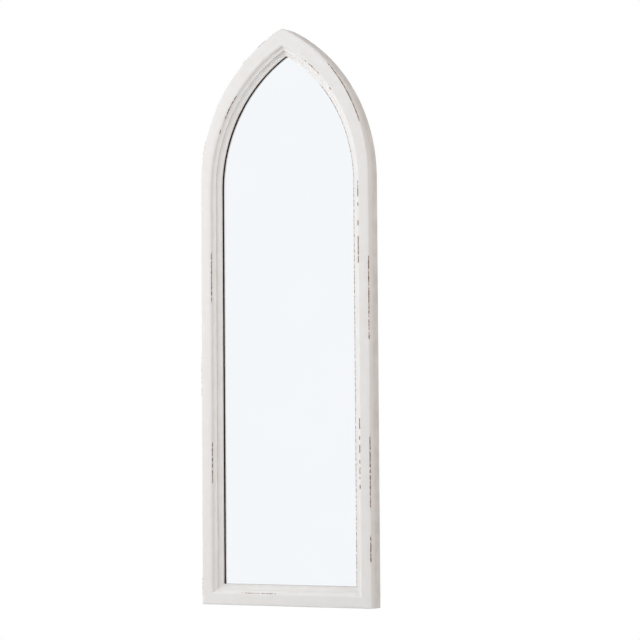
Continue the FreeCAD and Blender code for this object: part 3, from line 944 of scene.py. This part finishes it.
    def grime(self, share: float) -> np.ndarray:
        """Painted shade at each point: below the quirk on the lower cove, and on the side towards the
        wall.

        Args:
            share: how much of the cove's painted shade the member has.

        Returns:
            The painted shade.
        """
        across, deep = self.points.T
        start, end = self.wall_side_shade_shares
        outside = across < self.edge_ease / 2
        # Painted shade: the outer side darkens towards the wall.
        side = outside * smooth_step(deep, start * self.depth, end * self.depth)
        below = (self.quirk_corner[0] + self.quirk_shade_place[0], self.quirk_corner[1] + self.quirk_shade_place[1])
        # Painted shade in the quirk.
        creased_shade = share * self.quirk_shade * self.near(below, self.quirk_shade_reach)
        return creased_shade + self.wall_side_shade * side

    def bare(self) -> np.ndarray:
        """Bare wood at each point: the rabbet, and the back from a few millimetres inside its edge."""
        across, deep = self.points.T
        start, end = self.back_fade
        behind = smooth_step(deep, self.back - start, self.back - end)
        inward = smooth_step(across, 0.0, self.back_paint)
        return np.maximum(behind * inward, self.stained_and_shaded())

    def stained_and_shaded(self) -> np.ndarray:
        """Dark staining at each point, which deepens the shade there: the back of the nose and the wall
        of the rabbet.
        """
        across, deep = self.points.T
        start, end = self.stain_and_shade_fade
        inside = smooth_step(across, self.rabbet - start, self.rabbet - end)
        return inside * smooth_step(deep, self.nose_back - start, self.nose_back - end)


@dataclass
class Plan:
    """Front view of the frame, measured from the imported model."""

    half_width: float
    bottom: float
    spring: float
    top: float
    front: float
    back: float
    pane_half_width: float
    pane_bottom: float
    pane_top: float
    pane_front: float
    pane_back: float

    @classmethod
    def measured(cls) -> "Plan":
        """Read the plan from the boxes of the frame's nodes and the glass."""
        rail_low, rail_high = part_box("bottom_rail")
        arch_low, arch_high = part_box("left_arch")
        glass_low, glass_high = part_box("mirror_glass")
        return cls(
            half_width=rail_high.x,
            bottom=rail_low.z,
            spring=arch_low.z,
            top=arch_high.z,
            front=rail_low.y,
            back=rail_high.y,
            pane_half_width=glass_high.x,
            pane_bottom=glass_low.z,
            pane_top=glass_high.z,
            pane_front=glass_low.y,
            pane_back=glass_high.y,
        )

    def __post_init__(self) -> None:
        """Work out the arch: its centre from the pane's rise, its stilt from the frame's top."""
        rise = self.pane_top - self.spring
        self.centre = (rise**2 - self.pane_half_width**2) / (2 * self.pane_half_width)
        self.radius = self.half_width + self.centre
        self.stilt = self.top - self.spring - math.sqrt(self.radius**2 - self.centre**2)

    def stilted(self, angle: np.ndarray) -> np.ndarray:
        """How far the outer edge lies beyond the moulding's own circle.

        The outer edge rises straight for the height of the stilt, at radius / cos a from the
        centre, and then follows an equal circle raised by the stilt.

        Args:
            angle: angle from the springing line.

        Returns:
            The distance beyond the circle.
        """
        straight = self.radius / np.cos(angle)
        lift = self.stilt * np.sin(angle)
        raised = lift + np.sqrt(self.radius**2 - (self.stilt * np.cos(angle)) ** 2)
        return np.where(self.radius * np.tan(angle) < self.stilt, straight, raised) - self.radius


@dataclass
class PaintedFrame:
    """The moulded frame: a bottom rail, two stiles and the two halves of the pointed arch."""

    plan: Plan
    finish: Finish = field(default_factory=WornPaint)
    slot: str = "painted_wood"
    row_step: float = 0.0020
    arch_step: float = 0.0014
    # Share of the quirk's painted shade: little on the rail, whose cove faces up, and on the right side.
    rail_shade: float = 0.1
    left_shade: float = 1.0
    right_shade: float = 0.15
    tip_round: float = 0.003
    side_shift: float = 5.0
    rail_shift: float = 11.0
    mitre_turns: int = 8

    LEFT_STILE_RUBS = (
        Rub(Arris.INNER, -0.177, -0.100, 0.76, width=0.0012),
        Rub(Arris.INNER, -0.466, -0.398, 0.70, width=0.0012),
        Rub(Arris.OUTER, -0.330, -0.262, 0.55),
        Rub(Arris.OUTER, -0.640, -0.612, 0.80),
    )
    RIGHT_STILE_RUBS = (
        Rub(Arris.ROLL, -0.009, 0.002, 0.60, width=0.0018),
        *rub_row(
            Arris.ROLL,
            (-0.024, -0.011),
            (-0.039, -0.034),
            (-0.068, -0.060),
            (-0.113, -0.085),
            (-0.125, -0.116),
            strength=1.1,
            width=0.0020,
        ),
        *rub_row(
            Arris.ROLL,
            (-0.380, -0.364),
            (-0.396, -0.392),
            (-0.417, -0.404),
            (-0.433, -0.427),
            (-0.449, -0.439),
            (-0.457, -0.453),
            (-0.471, -0.465),
            strength=0.95,
            width=0.0018,
        ),
        Rub(Arris.OUTER, -0.245, -0.116, 0.76, width=0.0012),
        Rub(Arris.OUTER, -0.502, -0.390, 0.80, width=0.0012),
        Rub(Arris.OUTER, -0.585, -0.540, 0.80, width=0.0012),
        # A thin unbroken dark line along the nose edge beside the glass.
        Rub(Arris.NOSE, -0.640, 0.010, 0.80, width=0.0008),
    )
    LEFT_ARCH_RUBS = (
        Rub(Arris.INNER, 0.124, 0.170, 0.85),
        Rub(Arris.INNER, 0.097, 0.105, 0.90, fade=0.003),
        Rub(Arris.OUTER, 0.249, 0.264, 0.90, fade=0.004),
        Rub(Arris.OUTER, 0.217, 0.224, 0.85, fade=0.003),
        Rub(Arris.OUTER, 0.050, 0.083, 0.50),
    )
    RIGHT_ARCH_RUBS = (
        Rub(Arris.OUTER, 0.094, 0.196, 0.82, width=0.0011, fade=0.012),
        Rub(Arris.ROLL, 0.202, 0.241, 0.56, width=0.0018),
        Rub(Arris.ROLL, 0.163, 0.169, 0.85, width=0.0018, fade=0.003),
        # Thin dark lines along the nose edge beside the glass.
        Rub(Arris.NOSE, 0.105, 0.194, 0.85, width=0.0009, fade=0.02),
        Rub(Arris.NOSE, -0.010, 0.180, 0.80, width=0.0008, fade=0.03),
    )
    RAIL_RUBS = (Rub(Arris.INNER, -0.078, -0.017, 0.72),)
    STILE_RUBS = {Side.LEFT: LEFT_STILE_RUBS, Side.RIGHT: RIGHT_STILE_RUBS}
    ARCH_RUBS = {Side.LEFT: LEFT_ARCH_RUBS, Side.RIGHT: RIGHT_ARCH_RUBS}

    def __post_init__(self) -> None:
        """Draw the section to the frame's depth."""
        self.section = Moulding(depth=self.plan.back - self.plan.front)

    def rows(self, length: float, step: float) -> np.ndarray:
        """Even shares from 0 to 1 along a member.

        Args:
            length: length of the member.
            step: distance from row to row.

        Returns:
            The shares as a column.
        """
        return np.linspace(0.0, 1.0, int(length / step) + 2)[:, None]

    def shell(
        self,
        x: np.ndarray,
        z: np.ndarray,
        along: np.ndarray,
        shift: float,
        shade_share: float,
        rubs: Sequence[Rub],
    ) -> Shell:
        """Put a member together from the places of its rings.

        Args:
            x: place across the mirror, by row and column.
            z: height, by row and column.
            along: distance along the member, by row and column.
            shift: moves the member's pattern, so that no two members show the same one.
            shade_share: how much of the cove's painted shade it has.
            rubs: its worn stretches.

        Returns:
            The member's surface with its marks.
        """
        section = self.section
        level = np.ones_like(x)
        rings = np.stack([x, level * (self.plan.front + section.points[:, 1]), z], axis=-1)
        worn = [self.worn(rub, along) for rub in rubs]
        marks = {
            Mark.ALONG: along + shift,
            Mark.ACROSS: level * section.girth,
            Mark.RUB: np.max(worn, axis=0),
            # Painted shade in the quirk and towards the wall.
            Mark.GRIME: level * section.grime(shade_share),
            Mark.BARE: level * section.bare(),
            # Dark staining that deepens the shade in the rabbet.
            Mark.STAIN: level * section.stained_and_shaded(),
        }
        return Shell(rings, {mark.value: values for mark, values in marks.items()})

    def worn(self, rub: Rub, along: np.ndarray) -> np.ndarray:
        """Strength of one rub: a band about its arris times a window along the member.

        Args:
            rub: the worn stretch.
            along: distance along the member.

        Returns:
            The strength, by row and column.
        """
        band = self.section.near(self.section.arrises[rub.arris], rub.width)
        begun = smooth_step(along, rub.start - rub.fade, rub.start + rub.fade)
        ended = smooth_step(along, rub.end - rub.fade, rub.end + rub.fade)
        return rub.strength * band * begun * (1 - ended)

    def shade_share(self, side: Side) -> float:
        """How much of the cove's painted shade the members of one side have."""
        return self.left_shade if side is Side.LEFT else self.right_shade

    def rail(self) -> Shell:
        """The bottom rail: the section carried along X from -(half width - across) to its opposite."""
        across = self.section.points[:, 0]
        share = self.rows(2 * self.plan.half_width, self.row_step)
        x = (2 * share - 1) * (self.plan.half_width - across)
        z = np.ones_like(share) * (self.plan.bottom + across)
        return self.shell(x, z, x, self.rail_shift, self.rail_shade, self.RAIL_RUBS)

    def stile(self, side: Side) -> Shell:
        """A stile: the section carried up from the plane z = bottom + across to the springing line.

        Args:
            side: which stile.

        Returns:
            Its surface.
        """
        across = self.section.points[:, 0]
        low = self.plan.bottom + across
        share = self.rows(self.plan.spring - self.plan.bottom, self.row_step)
        z = low + share * (self.plan.spring - low)
        x = np.ones_like(share) * side.value * (self.plan.half_width - across)
        shift = side.value * self.side_shift
        return self.shell(x, z, z - self.plan.spring, shift, self.shade_share(side), self.STILE_RUBS[side])

    def arch(self, side: Side) -> Shell:
        """Half of the arch: the section turned about a centre beyond the middle, up to the apex.

        A point lies at the circle's radius less its distance across, plus the stilt's share where it
        is on the flat or the outer side. Each column ends where that reach times cos a is the
        centre's distance from the middle, which a few rounds of substitution find. The tip is
        sanded blunt: it drops by the slope times the root of x^2 + round^2, less x.

        Args:
            side: which half.

        Returns:
            Its surface.
        """
        plan = self.plan
        across = self.section.points[:, 0]
        flat_end = self.section.face_width - self.section.roll_width
        outer = 1 - smooth_step(across, self.section.edge_ease, flat_end)
        last = np.arccos(plan.centre / (plan.radius - across))
        for _ in range(self.mitre_turns):
            last = np.arccos(plan.centre / (plan.radius - across + outer * plan.stilted(last)))
        angle = self.rows(plan.radius * last.max(), self.arch_step) * last
        reach = plan.radius - across + outer * plan.stilted(angle)
        x = side.value * (reach * np.cos(angle) - plan.centre)
        slope = plan.centre / math.sqrt(plan.radius**2 - plan.centre**2)
        blunted = slope * outer * (np.hypot(x, self.tip_round) - np.abs(x))
        z = plan.spring + reach * np.sin(angle) - blunted
        shift = side.value * self.side_shift
        return self.shell(x, z, plan.radius * angle, shift, self.shade_share(side), self.ARCH_RUBS[side])

    def build(self) -> None:
        """Make the five members in place of their CAD nodes."""
        members = {"bottom_rail": self.rail()}
        for side in Side:
            members[f"{side.name.lower()}_stile"] = self.stile(side)
            members[f"{side.name.lower()}_arch"] = self.arch(side)
        for node, shell in members.items():
            make_piece(f"painted_{node}", [shell], self.finish, [node])


# Pane

@dataclass
class PanePack:
    """Silvered glass, cushioning sheet, back board and setting blocks."""

    plan: Plan
    silver: Finish = field(default_factory=SilveredPane)
    cushion: Finish = PressedBoard(
        "grey_cushion_sheet",
        pale=(0.40, 0.39, 0.37),
        dark=(0.28, 0.27, 0.26),
        fleck=(0.5, 0.49, 0.47),
    )
    board: Finish = PressedBoard(
        "brown_hardboard",
        pale=(0.30, 0.185, 0.10),
        dark=(0.20, 0.115, 0.06),
        fleck=(0.42, 0.28, 0.16),
    )
    blocks: Finish = MouldedRubber("setting_block_rubber")
    glass_index: float = 1.64
    arc_points: int = 64

    def silver_front(self) -> float:
        """Where the silver on the back of the glass seems to lie: the thickness over the index."""
        thickness = self.plan.pane_back - self.plan.pane_front
        return self.plan.pane_front + thickness / self.glass_index

    def pane(self) -> Shell:
        """The pane's outline, from its foot round the pointed arch, carried from front to back.

        Each arc is struck from the frame's own centre: x = reach cos a - centre and
        z = spring + reach sin a.

        Returns:
            Its surface.
        """
        plan = self.plan
        reach = plan.pane_half_width + plan.centre
        apex = math.acos(plan.centre / reach)
        angle = np.linspace(0.0, apex, self.arc_points)
        x = reach * np.cos(angle) - plan.centre
        z = plan.spring + reach * np.sin(angle)
        foot = [plan.pane_half_width]
        outline_x = np.concatenate([foot, x, -x[-2::-1], np.negative(foot)])
        outline_z = np.concatenate([[plan.pane_bottom], z, z[-2::-1], [plan.pane_bottom]])
        levels = np.array([[self.silver_front()], [plan.pane_back]])
        x, y, z = np.broadcast_arrays(outline_x, levels, outline_z)
        return Shell(np.stack([x, y, z], axis=-1))

    def build(self) -> None:
        """Make the silvered pane and finish the layers behind it."""
        make_piece("silvered_pane", [self.pane()], self.silver, ["mirror_glass"])
        dress_node("liner_sheet", self.cushion)
        dress_node("back_board", self.board)
        dress_node("glass_setting_blocks", self.blocks)


# Back hardware

@dataclass
class PanScrew:
    """Pan-head wood screw with a cross recess."""

    head_radius: float = 0.0035
    head_height: float = 0.002
    head_rim: float = 0.0007
    rim_ease: float = 0.00025
    shank_radius: float = 0.00175
    length: float = 0.014
    tip_length: float = 0.004
    recess_reach: float = 0.0019
    recess_width: float = 0.00085
    recess_depth: float = 0.0012
    recess_edge: float = 0.00018
    recess_taper: float = 0.5
    crown_rows: int = 26
    columns: int = 72
    pole: float = 0.00002

    def profile(self) -> tuple[np.ndarray, np.ndarray]:
        """Radius and height of each ring: crowned head, eased rim, underside, shank and tip.

        The crown is an arc whose rise over the head's radius is its height above the rim.

        Returns:
            Radii and heights from the middle of the crown to the point.
        """
        crown = self.head_height - self.head_rim
        crown_radius = (self.head_radius**2 + crown**2) / (2 * crown)
        flat = np.linspace(self.pole, self.head_radius - self.rim_ease, self.crown_rows)
        domed = self.head_rim + np.sqrt(crown_radius**2 - flat**2) - (crown_radius - crown)
        body = [
            (self.head_radius, self.head_rim - self.rim_ease),
            (self.head_radius, 0.0),
            (self.shank_radius, 0.0),
            (self.shank_radius, self.tip_length - self.length),
            (self.pole, -self.length),
        ]
        radii, heights = np.array(body).T
        return np.concatenate([flat, radii]), np.concatenate([domed, heights])

    def slot(self, beside: np.ndarray, along: np.ndarray) -> np.ndarray:
        """One bar of the cross: 1 inside it, falling smoothly to 0 at its edges.

        Args:
            beside: distance from the bar's middle line.
            along: distance along that line.

        Returns:
            The bar's mask.
        """
        half = self.recess_width / 2
        narrow = 1 - smooth_step(np.abs(beside), half - self.recess_edge, half + self.recess_edge)
        ending = smooth_step(np.abs(along), self.recess_reach - self.recess_edge, self.recess_reach)
        return narrow * (1 - ending)

    def shell(self, x: float, seat: float, z: float, turn: float) -> Shell:
        """The screw at one place: its profile turned about Y, with the cross sunk into the crown.

        Args:
            x: place of its axis across the mirror.
            seat: where the underside of the head lies in depth.
            z: height of its axis.
            turn: angle of its cross.

        Returns:
            Its surface.
        """
        radii, heights = self.profile()
        angle = np.linspace(0.0, 2 * math.pi, self.columns, endpoint=False)
        across = radii[:, None] * np.cos(angle)
        up = radii[:, None] * np.sin(angle)
        cross = np.maximum(self.slot(across, up), self.slot(up, across))
        taper = 1 - self.recess_taper * radii[:, None] / self.recess_reach
        crowned = (np.arange(len(radii)) < self.crown_rows)[:, None]
        level = heights[:, None] - self.recess_depth * cross * np.maximum(taper, 0.0) * crowned
        turned_x = across * math.cos(turn) - up * math.sin(turn)
        turned_z = across * math.sin(turn) + up * math.cos(turn)
        return Shell(np.stack([x + turned_x, seat + level, z + turned_z], axis=-1))


@dataclass
class BackHardware:
    """Turn buttons, hanger straps and rings, screws, nails, dowels and bumpers."""

    screw: PanScrew = field(default_factory=PanScrew)
    zinc: Finish = PlatedSteel(
        "zinc_plate", bright=(0.58, 0.58, 0.57), dull=(0.42, 0.42, 0.41), roughness=0.38
    )
    stamped: Finish = PlatedSteel(
        "stamped_button_steel", bright=(0.54, 0.525, 0.48), dull=(0.38, 0.365, 0.33), roughness=0.42
    )
    nail: Finish = PlatedSteel(
        "cut_nail_steel", bright=(0.40, 0.39, 0.38), dull=(0.24, 0.22, 0.20), roughness=0.45
    )
    rubber: Finish = MouldedRubber("bumper_rubber")
    dowel: Finish = field(default_factory=SolidBeech)

    def seat(self, node: str) -> float:
        """Depth of the underside of a group of screws' heads."""
        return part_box(node)[1].y - self.screw.head_height

    def screws_at(self, node: str, places: Sequence[tuple[float, float]]) -> None:
        """Make a group of screws, each with its cross at its own angle.

        Args:
            node: the CAD node that the group stands for.
            places: the axes, across and up.
        """
        seat = self.seat(node)
        shells = [
            self.screw.shell(x, seat, z, number * GOLDEN_ANGLE)
            for number, (x, z) in enumerate(places)
        ]
        make_piece(f"cross_{node}", shells, self.zinc, [node])

    def build(self) -> None:
        """Make the screws and finish the other hardware."""
        pivots = {joint["name"]: joint["pos_m"] for joint in frame["joints"]}
        buttons = [(x, z) for name, (x, _, z) in pivots.items() if name.startswith("turn_button")]
        self.screws_at("turn_button_screws", buttons)
        low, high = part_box("hanger_screws")
        heights = (low.z + self.screw.head_radius, high.z - self.screw.head_radius)
        hangers = [pivots[f"{side.name.lower()}_ring_swing"][0] for side in Side]
        self.screws_at("hanger_screws", [(x, z) for x in hangers for z in heights])
        for node in frame["nodes"]:
            if node.startswith("turn_button") and node != "turn_button_screws":
                dress_node(node, self.stamped)
        for side in Side:
            dress_node(f"{side.name.lower()}_hanger_strap", self.zinc)
            dress_node(f"{side.name.lower()}_hanger_ring", self.zinc)
        dress_node("mitre_v_nails", self.nail)
        dress_node("springing_dowels", self.dowel)
        dress_node("wall_bumpers", self.rubber)


# Studio

def heading(azimuth: float, elevation: float) -> Vector:
    """Direction from the mirror, round from the front and up from the level.

    Args:
        azimuth: angle round to the right.
        elevation: angle up.

    Returns:
        A vector of length 1.
    """
    level = math.cos(elevation)
    return Vector((math.sin(azimuth) * level, -math.cos(azimuth) * level, math.sin(elevation)))


@dataclass(frozen=True)
class Lamp:
    """A square soft light.

    Attributes:
        name: what it does.
        azimuth: degrees round from the front, to the right.
        elevation: degrees above the mirror's middle.
        distance: how far it stands from that middle.
        size: side of the square.
        level: light that it gives a surface that faces it, where 1 shows a colour as written.
        tint: colour of its light.
    """

    name: str
    azimuth: float
    elevation: float
    distance: float
    size: float
    level: float
    tint: Colour = (1.0, 1.0, 1.0)

    def hang(self, aim: Vector) -> None:
        """Put the lamp in the scene, where it lights surfaces but shows in no metal or glass.

        A square that sends out P watts lights a surface that faces it at P / (pi r)^2 of white.

        Args:
            aim: the point that it lights.
        """
        toward = heading(math.radians(self.azimuth), math.radians(self.elevation))
        light = bpy.data.lights.new(self.name, "AREA")
        light.shape = "SQUARE"
        light.size = self.size
        light.color = self.tint
        light.energy = self.level * (math.pi * self.distance) ** 2
        lamp = bpy.data.objects.new(self.name, light)
        bpy.context.scene.collection.objects.link(lamp)
        lamp.visible_glossy = False
        turn = toward.to_track_quat("Z", "Y").to_matrix().to_4x4()
        lamp.matrix_world = Matrix.Translation(aim + toward * self.distance) @ turn


@dataclass
class Studio:
    """Camera, soft lamps, white surroundings and a pale floor."""

    plan: Plan
    azimuth: float = math.radians(28.56)
    elevation: float = math.radians(-2.84)
    roll: float = math.radians(-0.41)
    distance: float = 3.849
    target: Place = (0.0647, -0.0365, -0.1869)
    lens: float = 140.6
    sensor: float = 36.0
    ambient: Colour = (0.05, 0.05, 0.05)
    white: Colour = (1.0, 1.0, 1.0)
    floor_drop: float = 0.45
    floor_half: float = 3.5
    floor_clear: float = 1.1
    floor_tone: Colour = (0.84, 0.84, 0.83)
    floor_speck: Colour = (0.80, 0.80, 0.79)
    floor_pattern: Pattern = Pattern(30.0, detail=3.0)
    floor_roughness: float = 0.85
    floor_points: int = 96
    lamps: tuple[Lamp, ...] = (
        Lamp("window_side", -75.0, 5.0, 1.3, 1.0, 0.63),
        Lamp("front_top", -25.0, 42.0, 2.4, 1.6, 0.30),
        Lamp("front_level", -6.0, 15.0, 2.4, 1.6, 0.41),
        Lamp("right_fill", 85.0, 20.0, 2.8, 1.6, 0.47, (1.07, 0.987, 0.935)),
        Lamp("behind", 180.0, 18.0, 2.8, 1.6, 0.50),
    )

    def set_camera(self) -> None:
        """Stand the camera at its azimuth and elevation round the target, with a slight roll."""
        back = heading(self.azimuth, self.elevation)
        right = Vector((math.cos(self.azimuth), math.sin(self.azimuth), 0.0))
        up = back.cross(right)
        rolled_right = right * math.cos(self.roll) + up * math.sin(self.roll)
        rolled_up = up * math.cos(self.roll) - right * math.sin(self.roll)
        data = bpy.data.cameras.new("view")
        data.lens = self.lens
        data.sensor_width = self.sensor
        data.sensor_fit = "HORIZONTAL"
        camera = bpy.data.objects.new("view", data)
        bpy.context.scene.collection.objects.link(camera)
        turn = Matrix((rolled_right, rolled_up, back)).transposed().to_4x4()
        camera.matrix_world = Matrix.Translation(Vector(self.target) + back * self.distance) @ turn
        bpy.context.scene.camera = camera

    def seen(self, graph: Graph) -> Field:
        """1 for rays that show the surroundings: from the camera, off metal or through glass."""
        path = graph.node("ShaderNodeLightPath")
        camera, glossy, transmission = (
            Field(graph, path.outputs[f"Is {kind} Ray"])
            for kind in ("Camera", "Glossy", "Transmission")
        )
        return camera | glossy | transmission

    def set_world(self) -> None:
        """Surround the mirror with white that is seen and a plain level that lights it."""
        world = bpy.data.worlds.new("studio")
        world.use_nodes = True
        graph = Graph(world.node_tree)
        lit = graph.node("ShaderNodeBackground", None, {"Color": self.ambient})
        shown = graph.node("ShaderNodeBackground", None, {"Color": self.white})
        choice = {0: self.seen(graph), 1: lit.outputs[0], 2: shown.outputs[0]}
        mixed = graph.node("ShaderNodeMixShader", None, choice)
        graph.node("ShaderNodeOutputWorld", None, {"Surface": mixed.outputs[0]})
        bpy.context.scene.world = world

    def floor_material(self) -> bpy.types.Material:
        """Pale floor that keeps the shadow near the mirror and fades into the surroundings."""
        material = bpy.data.materials.new("pale_floor")
        material.use_nodes = True
        graph = Graph(material.node_tree)
        place = graph.place()
        specks = graph.noise(place, self.floor_pattern)
        tone = graph.mixed(specks, self.floor_tone, self.floor_speck)
        matt = {"Base Color": tone, "Roughness": self.floor_roughness}
        floor = graph.node("ShaderNodeBsdfPrincipled", None, matt)
        white = graph.node("ShaderNodeEmission", None, {"Color": self.white})
        away = graph.value("ShaderNodeVectorMath", {"operation": "LENGTH"}, {0: place}, "Value")
        fade = away.smooth(self.floor_clear, self.floor_half) * self.seen(graph)
        choice = {0: fade, 1: floor.outputs[0], 2: white.outputs[0]}
        mixed = graph.node("ShaderNodeMixShader", None, choice)
        graph.node("ShaderNodeOutputMaterial", None, {"Surface": mixed.outputs[0]})
        return material

    def lay_floor(self) -> None:
        """Lay a round floor below the mirror, which hangs clear of it."""
        angle = np.linspace(0.0, 2 * math.pi, self.floor_points, endpoint=False)
        across = self.floor_half * np.cos(angle)
        deep = self.floor_half * np.sin(angle)
        level = np.full_like(angle, self.plan.bottom - self.floor_drop)
        rim = np.stack([across, deep, level], axis=-1)
        mesh = bpy.data.meshes.new("floor")
        mesh.from_pydata(rim.tolist(), [], [list(range(len(rim)))])
        mesh.materials.append(self.floor_material())
        floor = bpy.data.objects.new("floor", mesh)
        bpy.context.scene.collection.objects.link(floor)

    def build(self) -> None:
        """Set up the view, the surroundings and the lamps."""
        self.set_camera()
        self.set_world()
        self.lay_floor()
        middle = (CAD_BOX[0] + CAD_BOX[1]) / 2
        for lamp in self.lamps:
            lamp.hang(middle)
        bpy.context.scene.view_settings.view_transform = "Standard"


def main() -> None:
    """Build the mirror's sub-assemblies in order, then the studio."""
    logging.basicConfig(level=logging.INFO, format="%(name)s %(message)s")
    plan = Plan.measured()
    for assembly in (PaintedFrame(plan), PanePack(plan), BackHardware(), Studio(plan)):
        assembly.build()
        LOG.info("%s built", type(assembly).__name__)


if __name__ == "__main__":
    main()
